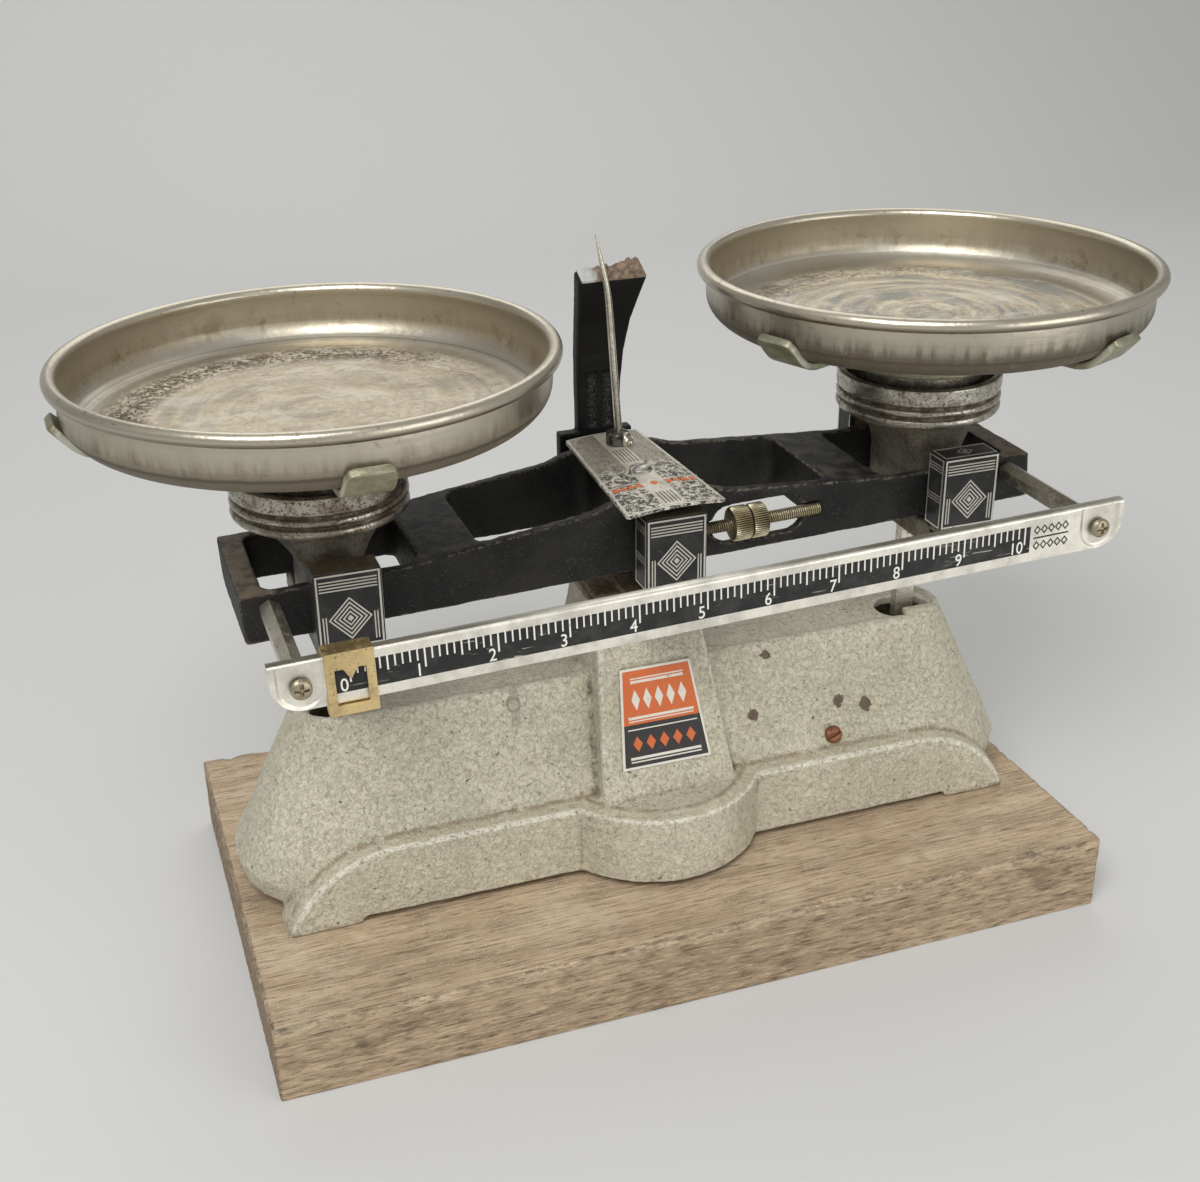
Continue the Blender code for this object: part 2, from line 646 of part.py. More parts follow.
def make_cap(name, side, top, height, parent, mat):
    """A stamped cap over a bearing, open underneath and towards the beam."""
    x, back = CAP_WIDTH / 2, CAP_FRONT - CAP_DEPTH
    y_low, y_high = sorted((side * back, side * CAP_FRONT))
    cap = block(name, (-x, y_low, top - height), (x, y_high, top), parent, mat)
    bevel(cap, CAP_BEVEL)
    y_low, y_high = sorted((side * (back - OVERRUN), side * (CAP_FRONT - CAP_WALL)))
    x -= CAP_WALL
    combine(cap, block(name + "_hollow", (-x, y_low, top - height - OVERRUN), (x, y_high, top - CAP_WALL), parent))
    return cap


def make_fork(centre, base, cast, agate, black, steel):
    """The fork on the tower, its bearings and caps, and the index arm behind it."""
    ground = TOWER_HEIGHT - PIVOT_HEIGHT + GAP
    top = -BEARING_BACK - GAP
    inner, outer = BEARING_INNER, BEARING_INNER + BEARING_DEPTH
    floor = ground + FORK_THICKNESS
    outline = [(-outer, ground), (outer, ground), (outer, top), (inner, top), (inner, floor), (-inner, floor),
               (-inner, top), (-outer, top)]
    fork = cut_from_outline("bearing_fork", outline, 2 * FORK_HALF_WIDTH, YZ, centre, cast)
    foot = block("fork_foot", (-FORK_FOOT_HALF_WIDTH, BASE_SETBACK - FORK_FOOT_HALF_DEPTH, ground),
                 (FORK_FOOT_HALF_WIDTH, BASE_SETBACK + FORK_FOOT_HALF_DEPTH, ground + FORK_FOOT_THICKNESS), centre)
    combine(fork, foot, "UNION")
    for side, word in ((-1, "front"), (1, "rear")):
        place = Matrix.Translation((0.0, bearing_centre(side), 0.0)) @ XZ
        cut_from_outline("centre_%s_bearing" % word, bearing_outline(False), BEARING_DEPTH, place, centre, agate)
        make_cap("centre_%s_cap" % word, side, CENTRE_CAP_TOP, CENTRE_CAP_HEIGHT, centre, black)

    arm = make_index_arm(base, black)
    reach = INDEX_FOOT_THICKNESS + SCREW_REACH
    low = floor + PIVOT_HEIGHT - FORK_THICKNESS / 2
    for name, x in (("left_arm_screw", -ARM_SCREW_PLACE), ("right_arm_screw", ARM_SCREW_PLACE)):
        seat = (x, INDEX_FOOT_FRONT + INDEX_FOOT_THICKNESS + GAP, low)
        deep = (x, INDEX_FOOT_FRONT - SCREW_REACH - GAP, low)
        past = (x, seat[1] + OVERRUN, low)
        combine(arm, bar(name + "_way", deep, past, SCREW_SHANK + GAP, base))
        tapped = bar(name + "_hole", deep, past, SCREW_SHANK + GAP, base)
        combine(fork, tapped)
        make_screw(name, seat, (0.0, 1.0, 0.0), SCREW_HEAD, SCREW_HEAD_HEIGHT, SCREW_SHANK, reach, base, steel)


def make_index_arm(base, black):
    """A flat foot behind the fork, and a post that rises, leans forward and widens to its top."""
    rise = INDEX_TOP_HEIGHT - INDEX_FOOT_TOP
    rings = []
    for share, lean, widen in ((0.0, 0.0, 0.0), (0.1, 0.0, 0.0), (0.3, 0.02, 0.05), (0.5, 0.14, 0.18),
                               (0.7, 0.40, 0.40), (0.85, 0.70, 0.68), (1.0, 1.0, 1.0)):
        half = INDEX_POST_HALF_WIDTH + (INDEX_TOP_HALF_WIDTH - INDEX_POST_HALF_WIDTH) * widen
        thick = INDEX_POST_THICKNESS + (INDEX_TOP_THICKNESS - INDEX_POST_THICKNESS) * widen
        front = INDEX_FOOT_FRONT - (INDEX_FOOT_FRONT - INDEX_TOP_FRONT) * lean
        z = INDEX_FOOT_TOP + rise * share
        back_z = z + INDEX_TOP_RISE * widen
        left, right = INDEX_POST_OFFSET - half, INDEX_POST_OFFSET + half
        rings.append([(left, front, z), (right, front, z), (right, front + thick, back_z),
                      (left, front + thick, back_z)])
    rings.insert(0, [(x, y, INDEX_FOOT_TOP - INDEX_FOOT_THICKNESS) for x, y, z in rings[0]])
    arm = loft("index_arm", rings, base, black)
    bevel(arm, BEAM_BEVEL)
    foot = block("index_foot", (-INDEX_FOOT_HALF_WIDTH, INDEX_FOOT_FRONT, INDEX_FOOT_BOTTOM),
                 (INDEX_FOOT_HALF_WIDTH, INDEX_FOOT_FRONT + INDEX_FOOT_THICKNESS, INDEX_FOOT_TOP), base)
    combine(arm, foot, "UNION")
    for side in (-1, 1):
        x = INDEX_POST_OFFSET + side * FLUTE_SPACING / 2
        y = INDEX_FOOT_FRONT - FLUTE_RADIUS + FLUTE_DEPTH
        flute = bar("flute", (x, y, FLUTE_BOTTOM), (x, y, FLUTE_TOP), FLUTE_RADIUS, base, sides=12)
        combine(arm, flute)
    return arm


def beam_outline():
    """The beam's side view: level ends, a slow rise and a raised pad in the middle."""
    right = [(BEAM_HALF_LENGTH, -BEAM_BOTTOM), (BEAM_HALF_LENGTH, BEAM_END_TOP), (BEAM_FLAT, BEAM_END_TOP),
             (BEAM_SHOULDER, BEAM_SHOULDER_TOP)]
    ramp = BEAM_SHOULDER - BEAM_CENTRE_PAD
    for share in (0.25, 0.5, 0.75, 1.0):
        lift = (1 - math.cos(math.pi * share)) / 2
        right.append((BEAM_SHOULDER - ramp * share,
                      BEAM_SHOULDER_TOP + (BEAM_CENTRE_TOP - BEAM_SHOULDER_TOP) * lift))
    return right + [(-x, z) for x, z in reversed(right)]


def make_beam(beam, iron, steel):
    frame = cut_from_outline("beam_frame", beam_outline(), 2 * BEAM_HALF_WIDTH, XZ, beam, iron)
    bevel(frame, BEAM_BEVEL)
    tall = 2 * (BEAM_CENTRE_TOP + BEAM_BOTTOM + OVERRUN)
    inner_y = BEAM_HALF_WIDTH - RAIL_THICKNESS
    spans = ((CROSS_BAR_OUTER, BEAM_HALF_LENGTH - END_BAR), (CENTRE_WEB, CROSS_BAR_INNER))
    for side, word in ((-1, "left"), (1, "right")):
        for number, (near, far) in enumerate(spans):
            ring = rounded((far - near) / 2, inner_y, POCKET_RADIUS, 3, (side * (near + far) / 2, 0.0))
            name = "%s_pocket_%d" % (word, number)
            combine(frame, cut_from_outline(name, ring, tall, Matrix.Identity(4), beam))

    # Holes for the knives, then the knives
    for x, up, word in ((-ARM, True, "left"), (0.0, False, "centre"), (ARM, True, "right")):
        for side, end in ((-1, "front"), (1, "rear")):
            y = side * (BEAM_HALF_WIDTH - RAIL_THICKNESS / 2)
            hole = cut_from_outline("%s_%s_knife_hole" % (word, end), knife_outline(up, GAP),
                                    RAIL_THICKNESS + 2 * OVERRUN, Matrix.Translation((x, y, 0.0)) @ XZ, beam)
            combine(frame, hole)
            place = Matrix.Translation((x, knife_centre(side), 0.0)) @ XZ
            cut_from_outline("%s_%s_knife" % (word, end), knife_outline(up), KNIFE_OUTER - KNIFE_INNER, place,
                             beam, steel)

    # Slot for the nuts in the front rail, and the groove that the balance rod lies in
    wall = Matrix.Translation((0.0, -BEAM_HALF_WIDTH + RAIL_THICKNESS / 2, 0.0)) @ XZ
    ring = rounded((SLOT_END - SLOT_START) / 2, SLOT_HEIGHT / 2, SLOT_HEIGHT / 2 - GAP, 6,
                   ((SLOT_START + SLOT_END) / 2, ROD_HEIGHT))
    combine(frame, cut_from_outline("nut_slot", ring, RAIL_THICKNESS + 2 * OVERRUN, wall, beam))
    start = (BALANCE_ROD_START - GAP, -BEAM_HALF_WIDTH, ROD_HEIGHT)
    end = (BALANCE_ROD_END + GAP, -BEAM_HALF_WIDTH, ROD_HEIGHT)
    combine(frame, bar("rod_groove", start, end, BALANCE_ROD_RADIUS + GAP, beam, sides=16))
    return frame


def make_balance_nuts(beam, steel, brass):
    y = -BEAM_HALF_WIDTH
    bar("balance_rod", (BALANCE_ROD_START, y, ROD_HEIGHT), (BALANCE_ROD_END, y, ROD_HEIGHT),
        BALANCE_ROD_RADIUS, beam, brass, sides=16)
    x = NUT_START
    for name, length in (("balance_nut", NUT_LENGTH), ("lock_nut", LOCK_NUT_LENGTH - GAP)):
        ring = []
        for i in range(2 * NUT_TEETH):
            radius = NUT_RADIUS - NUT_TOOTH * (i % 2)
            angle = math.pi * i / NUT_TEETH
            ring.append((radius * math.cos(angle), radius * math.sin(angle)))
        place = Matrix.Translation((x + length / 2, y, ROD_HEIGHT)) @ YZ
        nut = cut_from_outline(name, ring, length, place, beam, brass)
        start, end = (x - OVERRUN, y, ROD_HEIGHT), (x + length + OVERRUN, y, ROD_HEIGHT)
        combine(nut, bar(name + "_bore", start, end, BALANCE_ROD_RADIUS + GAP, beam, sides=16))
        x += NUT_LENGTH + GAP


def make_scale(beam, steel, brass):
    """The scale strip on two hexagonal rods, its screws and the poise that slides along it."""
    back = STRIP_FRONT - STRIP_THICKNESS
    corner = arc((STRIP_HALF_LENGTH - STRIP_CORNER, -STRIP_BOTTOM + STRIP_CORNER), (STRIP_CORNER, STRIP_CORNER),
                 -90, 0, 6)
    right = corner + [(STRIP_HALF_LENGTH, STRIP_TOP)]
    outline = right + [(-x, z) for x, z in reversed(right)]
    place = Matrix.Translation((0.0, -STRIP_FRONT + STRIP_THICKNESS / 2, 0.0)) @ XZ
    strip = cut_from_outline("scale_strip", outline, STRIP_THICKNESS, place, beam, steel)
    flange = block("strip_flange", (-STRIP_HALF_LENGTH, -STRIP_FRONT, STRIP_TOP - STRIP_THICKNESS),
                   (STRIP_HALF_LENGTH, -STRIP_FRONT + STRIP_FLANGE, STRIP_TOP), beam)
    combine(strip, flange, "UNION")

    rod_radius = HEX_ROD_FLATS / math.sqrt(3)
    for side, word in ((-1, "left"), (1, "right")):
        x, z = side * HEX_ROD_PLACE, HEX_ROD_HEIGHT
        rod = bar(word + "_scale_rod", (x, -back + GAP, z), (x, -BEAM_HALF_WIDTH - GAP, z), rod_radius, beam,
                  steel, sides=6)
        deep = (x, -STRIP_FRONT + STRIP_SCREW_REACH + GAP, z)
        past = (x, -STRIP_FRONT - OVERRUN, z)
        hole = bar(word + "_strip_screw_hole", deep, past, STRIP_SCREW_SHANK + GAP, beam, sides=16)
        combine(rod, hole)
        combine(strip, hole)
        make_screw(word + "_strip_screw", (x, -STRIP_FRONT - GAP, z), (0.0, -1.0, 0.0), STRIP_SCREW_HEAD,
                   STRIP_SCREW_HEAD_HEIGHT, STRIP_SCREW_SHANK, STRIP_SCREW_REACH, beam, steel)
    make_poise(beam, brass)


def make_poise(beam, brass):
    """A brass sheet wrapped round the strip, with a window and a reading point."""
    t, play = POISE_SHEET, POISE_PLAY
    front = -STRIP_FRONT - play
    top, bottom = STRIP_TOP + POISE_TOP, -STRIP_BOTTOM - POISE_BOTTOM
    flange_back = -STRIP_FRONT + STRIP_FLANGE + play
    strip_back = -STRIP_FRONT + STRIP_THICKNESS + play
    hook = STRIP_TOP - STRIP_THICKNESS - play
    section = [(front - t, bottom), (strip_back + t, bottom), (strip_back + t, bottom + t + POISE_HOOK),
               (strip_back, bottom + t + POISE_HOOK), (strip_back, bottom + t), (front, bottom + t),
               (front, top - t), (flange_back, top - t), (flange_back, hook - t), (flange_back + t, hook - t),
               (flange_back + t, top), (front - t, top)]
    place = Matrix.Translation((-SCALE_ZERO, 0.0, 0.0)) @ YZ
    poise = cut_from_outline("poise", section, POISE_WIDTH, place, beam, brass)
    w, low, high = POISE_WINDOW_HALF, -STRIP_BOTTOM + POISE_WINDOW_BOTTOM - POISE_BOTTOM, STRIP_TOP - POISE_WINDOW_TOP
    window = [(-w, low), (w, low), (w, high), (POISE_TIP_HALF, high), (0.0, high - POISE_TIP),
              (-POISE_TIP_HALF, high), (-w, high)]
    place = Matrix.Translation((-SCALE_ZERO, front - t / 2, 0.0)) @ XZ
    combine(poise, cut_from_outline("poise_window", window, t + play, place, beam))


def make_pointer(beam, frame, plate_steel, black, steel):
    """The plate on the beam's middle, the pointer's hub and the pointer."""
    under = BEAM_CENTRE_TOP + GAP
    top = under + PLATE_THICKNESS
    c = PLATE_CORNER
    outline = []
    for x, y, start in ((PLATE_FRONT_HALF, -PLATE_FRONT, -90), (PLATE_REAR_HALF, PLATE_REAR, 0),
                        (-PLATE_REAR_HALF, PLATE_REAR, 90), (-PLATE_FRONT_HALF, -PLATE_FRONT, 180)):
        centre = (x - math.copysign(c, x), y - math.copysign(c, y))
        outline += arc(centre, (c, c), start, start + 90, 3)
    place = Matrix.Translation((0.0, 0.0, under + PLATE_THICKNESS / 2))
    plate = cut_from_outline("centre_plate", outline, PLATE_THICKNESS, place, beam, plate_steel)

    seat = (0.0, -PLATE_SCREW_PLACE, top + GAP)
    deep = (0.0, -PLATE_SCREW_PLACE, top - PLATE_SCREW_REACH - GAP)
    hole = bar("plate_screw_hole", deep, (0.0, -PLATE_SCREW_PLACE, top + OVERRUN), PLATE_SCREW_SHANK + GAP, beam)
    combine(plate, hole)
    combine(frame, hole)
    make_screw("plate_screw", seat, (0.0, 0.0, 1.0), PLATE_SCREW_RADIUS, PLATE_SCREW_HEIGHT, PLATE_SCREW_SHANK,
               PLATE_SCREW_REACH, beam, steel)

    x, y, foot = HUB_OFFSET, HUB_PLACE, top + GAP
    hub_top = foot + HUB_HEIGHT
    hub = bar("pointer_hub", (x, y, foot), (x, y, hub_top), HUB_RADIUS, beam, black, sides=24)
    middle = Vector((x, y, foot + HUB_HEIGHT / 2))
    outward = Vector((math.sin(HUB_SCREW_TURN), -math.cos(HUB_SCREW_TURN), 0.0))
    seat = middle + outward * (HUB_RADIUS + GAP)
    hole = bar("hub_screw_hole", middle + outward * (HUB_SCREW_RADIUS + GAP), seat + outward * OVERRUN,
               HUB_SCREW_RADIUS / 2 + GAP, beam)
    combine(hub, hole)
    make_screw("pointer_screw", seat, outward, HUB_SCREW_RADIUS, HUB_SCREW_HEIGHT, HUB_SCREW_RADIUS / 2,
               HUB_RADIUS - HUB_SCREW_RADIUS, beam, steel)

    # The needle stands in the hub's top and is bent over near its tip
    socket = HUB_HEIGHT / 4
    combine(hub, bar("needle_socket", (x, y, hub_top - socket - GAP), (x, y, hub_top + OVERRUN),
                     NEEDLE_RADIUS + GAP, beam))
    curve = bpy.data.curves.new("pointer_needle", "CURVE")
    curve.dimensions = "3D"
    curve.bevel_depth = NEEDLE_RADIUS
    curve.bevel_resolution = 3
    curve.use_fill_caps = True
    curve.render_resolution_u = 0
    spline = curve.splines.new("POLY")
    points = [((x, y, hub_top - socket), 1.0), ((x, y, hub_top), 1.0),
              ((x - NEEDLE_BEND_SHIFT, y, NEEDLE_BEND_HEIGHT), NEEDLE_BEND_RADIUS / NEEDLE_RADIUS),
              ((x - NEEDLE_TIP_SHIFT, y, NEEDLE_TIP_HEIGHT), NEEDLE_TIP_RADIUS / NEEDLE_RADIUS)]
    spline.points.add(len(points) - 1)
    for point, (place, radius) in zip(spline.points, points):
        point.co = (*place, 1.0)
        point.radius = radius
    needle = bpy.data.objects.new("pointer_needle", curve)
    parts.objects.link(needle)
    needle.parent = beam
    curve.materials.append(steel)


def make_support(word, arm, turn, cast, zinc, agate, black, steel):
    """One pan's support: a pedestal on the beam's end knives, with a stem down into the base."""
    skirt = [squircle(NECK_TOP_RADIUS, NECK_TOP_RADIUS, 2.0, HEAD_BOTTOM + HEAD_GROOVE)]
    drop = HEAD_BOTTOM - NECK_SQUARE
    for share, power in ((0.0, 2.0), (0.25, 2.2), (0.5, 2.8), (0.75, 4.0), (1.0, 8.0)):
        blend = math.sin(math.pi / 2 * share)
        half_x = NECK_TOP_RADIUS + (NECK_HALF_WIDTH - NECK_TOP_RADIUS) * blend
        half_y = NECK_TOP_RADIUS + (NECK_HALF_DEPTH - NECK_TOP_RADIUS) * blend
        skirt.append(squircle(half_x, half_y, power, HEAD_BOTTOM - drop * share))
    skirt.append(squircle(NECK_HALF_WIDTH, NECK_HALF_DEPTH, 8.0, -YOKE_TOP - YOKE_THICKNESS / 2))
    pedestal = loft(word + "_pedestal", skirt, arm, zinc)
    combine(pedestal, pedestal_head(word, arm), "UNION")
    low, high = -YOKE_TOP - YOKE_THICKNESS, -YOKE_TOP
    reach = BEARING_INNER + BEARING_DEPTH
    yoke = block(word + "_yoke", (-YOKE_HALF_WIDTH, -reach, low), (YOKE_HALF_WIDTH, reach, high), arm)
    combine(pedestal, yoke, "UNION")
    for side, end in ((-1, "front"), (1, "rear")):
        y_low, y_high = sorted((side * BEARING_INNER, side * reach))
        for edge in (-1, 1):
            x_low, x_high = sorted((edge * YOKE_HALF_WIDTH, edge * (YOKE_HALF_WIDTH - YOKE_LEG)))
            leg = block("%s_%s_leg" % (word, end), (x_low, y_low, (low + high) / 2),
                        (x_high, y_high, -BEARING_LIP - GAP), arm)
            combine(pedestal, leg, "UNION")
        place = Matrix.Translation((0.0, bearing_centre(side), 0.0)) @ XZ
        cut_from_outline("%s_%s_bearing" % (word, end), bearing_outline(True), BEARING_DEPTH, place, arm, agate)
        make_cap("%s_%s_cap" % (word, end), side, END_CAP_TOP, END_CAP_HEIGHT, arm, black)

    bottom = STEM_BOTTOM_HEIGHT - PIVOT_HEIGHT
    block(word + "_stem", (-STEM_WIDTH / 2, -STEM_DEPTH / 2, bottom), (STEM_WIDTH / 2, STEM_DEPTH / 2, low - GAP),
          arm, steel)
    make_stem_pin(word, arm, steel)
    seat = HEAD_BOTTOM + HEAD_HEIGHT + HEAD_SEAT_RISE
    make_spider(word, seat + GAP, turn, arm, cast)
    return seat + GAP + SPIDER_HUB_HEIGHT + SPIDER_ARM_THICKNESS + GAP


def pedestal_head(word, arm):
    """The round head: two grooves round a drum, and a raised seat inside a rim."""
    r, g, h = HEAD_RADIUS, HEAD_GROOVE, HEAD_HEIGHT
    profile = [(0.0, h + HEAD_SEAT_RISE), (HEAD_SEAT_RADIUS, h + HEAD_SEAT_RISE),
               (HEAD_SEAT_RADIUS, h - HEAD_CHANNEL_DEPTH), (r - HEAD_RIM, h - HEAD_CHANNEL_DEPTH),
               (r - HEAD_RIM, h), (r - g / 2, h), (r, h - g / 2)]
    for centre in (6.6 * g, 2.8 * g):
        profile += [(r, centre + g), (r - g, centre + g / 2), (r - g, centre - g / 2), (r, centre - g)]
    profile += [(r, g), (r - g, 0.0), (0.0, 0.0)]
    profile = [(radius, HEAD_BOTTOM + z) for radius, z in profile]
    return turned(word + "_head", profile, arm)


def make_stem_pin(word, arm, steel):
    """The pin at the stem's foot that runs in the check link's end."""
    z = CHECK_HEIGHT - PIVOT_HEIGHT
    face = STEM_DEPTH / 2
    reach = face + CHECK_LINK_PLAY + CHECK_LINK_THICKNESS + CHECK_LINK_PLAY
    combine(bpy.data.objects[word + "_stem"],
            bar(word + "_pin_hole", (0.0, -face - OVERRUN, z), (0.0, face + OVERRUN, z), CHECK_PIN_RADIUS + GAP, arm))
    profile = [(0.0, face + CHECK_PIN_RADIUS), (CHECK_PIN_HEAD, face + CHECK_PIN_RADIUS), (CHECK_PIN_HEAD, face + GAP),
               (CHECK_PIN_RADIUS, face + GAP), (CHECK_PIN_RADIUS, -reach), (0.0, -reach)]
    place = Matrix.Translation((0.0, 0.0, z)) @ Matrix.Rotation(math.pi / 2, 4, "X")
    turned(word + "_check_pin", profile, arm, steel, SMALL_STEPS, place)


def make_spider(word, foot, turn, arm, cast):
    """A round hub with four strip arms, each bent up at its end to hold the pan."""
    top = foot + SPIDER_HUB_HEIGHT
    hub = turned(word + "_spider", [(0.0, top + GAP), (SPIDER_HUB_RADIUS, top + GAP), (SPIDER_HUB_RADIUS, foot),
                                    (0.0, foot)], arm, cast)
    t = SPIDER_ARM_THICKNESS
    angle = math.atan2(SPIDER_LIP_RISE, SPIDER_REACH - SPIDER_BEND)
    shift = t * math.tan(angle / 2)
    outline = [(0.0, top), (SPIDER_BEND + shift, top),
               (SPIDER_REACH + t * math.sin(angle), top + t + SPIDER_LIP_RISE - t * math.cos(angle)),
               (SPIDER_REACH, top + t + SPIDER_LIP_RISE), (SPIDER_BEND, top + t), (0.0, top + t)]
    for quarter in range(4):
        place = Matrix.Rotation(turn + quarter * math.pi / 2, 4, "Z") @ XZ
        strip = cut_from_outline("%s_arm_%d" % (word, quarter), outline, SPIDER_ARM_WIDTH, place, arm)
        combine(hub, strip, "UNION")


def make_pan(word, floor, arm, steel):
    """A spun pan: stepped floor, round corner, upright wall and a rolled rim."""
    wall, bead = PAN_WALL, PAN_BEAD
    run = PAN_WALL_RADIUS - PAN_FLOOR_RADIUS
    rise = PAN_CORNER_RISE
    rim = PAN_RADIUS - bead
    step = PAN_STEP_RADIUS
    inner_floor = [(0.0, PAN_STEP_RISE + wall), (step, PAN_STEP_RISE + wall), (step + PAN_STEP_RUN, wall)]
    inner_corner = arc((PAN_FLOOR_RADIUS, rise), (run - wall, rise - wall), -90, 0, 4)
    roll = arc((rim, PAN_HEIGHT), (bead, bead), 205, -118, 9)
    outer_corner = arc((PAN_FLOOR_RADIUS, rise), (run, rise), 0, -90, 4)
    outer_floor = [(step + PAN_STEP_RUN, 0.0), (step, PAN_STEP_RISE), (0.0, PAN_STEP_RISE)]
    profile = inner_floor + inner_corner + roll + outer_corner + outer_floor
    turned(word + "_pan", [(r, floor + z) for r, z in profile], arm, steel, PAN_STEPS)


def make_check_link(check, base, body, steel):
    """The link that keeps both stems upright, and the pin it turns on inside the base."""
    near = STEM_DEPTH / 2 + CHECK_LINK_PLAY
    half = ARM + CHECK_LINK_HALF_HEIGHT
    ring = rounded(half, CHECK_LINK_HALF_HEIGHT, CHECK_LINK_HALF_HEIGHT - GAP, 5)
    place = Matrix.Translation((0.0, near + CHECK_LINK_THICKNESS / 2, 0.0)) @ XZ
    link = cut_from_outline("check_link", ring, CHECK_LINK_THICKNESS, place, check, steel)
    for x, radius in ((-ARM, CHECK_PIN_RADIUS), (0.0, CHECK_PIVOT_RADIUS), (ARM, CHECK_PIN_RADIUS)):
        start = (x, near - OVERRUN, 0.0)
        end = (x, near + CHECK_LINK_THICKNESS + OVERRUN, 0.0)
        combine(link, bar("check_hole", start, end, radius + CHECK_CLEARANCE, check))
    z = CHECK_HEIGHT
    front = tower_face(z) + BASE_WALL - CHECK_PIVOT_SEAT
    down = TOWER_HEIGHT - z
    rear = BASE_SETBACK + TOWER_TOP_REAR + down * TOWER_REAR_DRAFT
    rear = max(rear, BASE_SETBACK + BASE_TOP_HALF_DEPTH + body_flare(z)) - BASE_WALL + CHECK_PIVOT_SEAT
    bar("check_pivot_pin", (0.0, front, z), (0.0, rear, z), CHECK_PIVOT_RADIUS, base, steel)
    seat = bar("check_pivot_seat", (0.0, front - GAP, z), (0.0, rear + GAP, z), CHECK_PIVOT_RADIUS + GAP, base)
    combine(body, seat)


def main():
    clear_scene()
    cast = material("hammered_paint", (0.40, 0.39, 0.32), 0.6, 0.3)
    iron = material("black_paint", (0.02, 0.02, 0.02), 0.45, 0.2)
    steel = material("bright_steel", (0.62, 0.60, 0.55), 0.35, 1.0)
    zinc = material("pitted_zinc", (0.45, 0.43, 0.39), 0.45, 1.0)
    nickel = material("pan_nickel", (0.58, 0.55, 0.49), 0.35, 1.0)
    olive = material("plated_strip", (0.30, 0.30, 0.22), 0.55, 0.7)
    brass = material("brass", (0.55, 0.42, 0.22), 0.4, 1.0)
    agate = material("agate", (0.35, 0.25, 0.18), 0.3, 0.0)
    capping = material("cap_enamel", (0.05, 0.05, 0.05), 0.4, 0.6)

    root = pivot("balance", (0.0, 0.0, 0.0))
    make_board(root)
    base = pivot("base_frame", (0.0, 0.0, BOARD_THICKNESS), root)
    centre = pivot("fork_frame", (0.0, 0.0, PIVOT_HEIGHT), base)
    body = make_base(base, cast)
    make_side_screw(base, body, steel)
    make_fork(centre, base, cast, agate, iron, steel)

    beam = pivot("beam_pivot", (0.0, 0.0, PIVOT_HEIGHT), base, -REST_TILT)
    frame = make_beam(beam, iron, steel)
    make_pointer(beam, frame, nickel, iron, steel)
    make_balance_nuts(beam, steel, brass)
    make_scale(beam, steel, brass)
    for word, side, turn in (("left", -1, SPIDER_LEFT_TURN), ("right", 1, SPIDER_RIGHT_TURN)):
        arm = pivot(word + "_arm_pivot", (side * ARM, 0.0, 0.0), beam, REST_TILT)
        floor = make_support(word, arm, turn, olive, zinc, agate, capping, steel)
        make_pan(word, floor, arm, nickel)
    check = pivot("check_pivot", (0.0, 0.0, CHECK_HEIGHT), base, -REST_TILT)
    make_check_link(check, base, body, steel)


main()
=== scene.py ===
import json
import math

import bmesh
import bpy
import numpy as np
from mathutils import Matrix, Vector


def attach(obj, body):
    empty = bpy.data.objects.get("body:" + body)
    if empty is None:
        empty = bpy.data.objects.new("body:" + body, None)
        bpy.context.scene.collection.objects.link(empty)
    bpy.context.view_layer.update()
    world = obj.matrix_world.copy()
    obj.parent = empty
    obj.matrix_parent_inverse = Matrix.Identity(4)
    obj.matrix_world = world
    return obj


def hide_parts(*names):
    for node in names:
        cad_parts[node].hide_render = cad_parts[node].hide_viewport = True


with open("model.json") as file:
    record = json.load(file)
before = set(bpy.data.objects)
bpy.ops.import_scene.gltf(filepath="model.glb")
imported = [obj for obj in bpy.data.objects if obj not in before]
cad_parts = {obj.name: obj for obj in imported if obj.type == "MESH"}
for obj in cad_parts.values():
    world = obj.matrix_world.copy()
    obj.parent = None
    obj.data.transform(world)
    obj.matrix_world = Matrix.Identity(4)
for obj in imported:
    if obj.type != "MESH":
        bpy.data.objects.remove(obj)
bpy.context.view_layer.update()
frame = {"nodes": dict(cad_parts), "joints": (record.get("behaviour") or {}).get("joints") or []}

# Lengths below are in millimetres, and puts() turns them into metres. In materials they are in metres,
# as Object coordinates are, and a noise's size is in millimetres.
mm = 0.001
boardTop = 27.5
tilt = math.radians(1.8)  # the beam's rest, down at its left end
joints = {joint["name"]: joint for joint in frame["joints"]}
onBoard = Matrix.Translation((0, 0, boardTop * mm))  # heights above the board
onBeam = Matrix.Translation(joints["beam_tilt"]["pos_m"]) @ Matrix.Rotation(-tilt, 4, "Y")
onLeft = Matrix.Translation(joints["left_support_hinge"]["pos_m"])
onRight = Matrix.Translation(joints["right_support_hinge"]["pos_m"])
onFork = Matrix.Translation(joints["beam_tilt"]["pos_m"])


def arcLine(cx, cy, rx, ry, start, end, count):  # points on an ellipse between two angles
    a = np.radians(np.linspace(start, end, count))
    return np.stack([cx + rx * np.cos(a), cy + ry * np.sin(a)], 1)


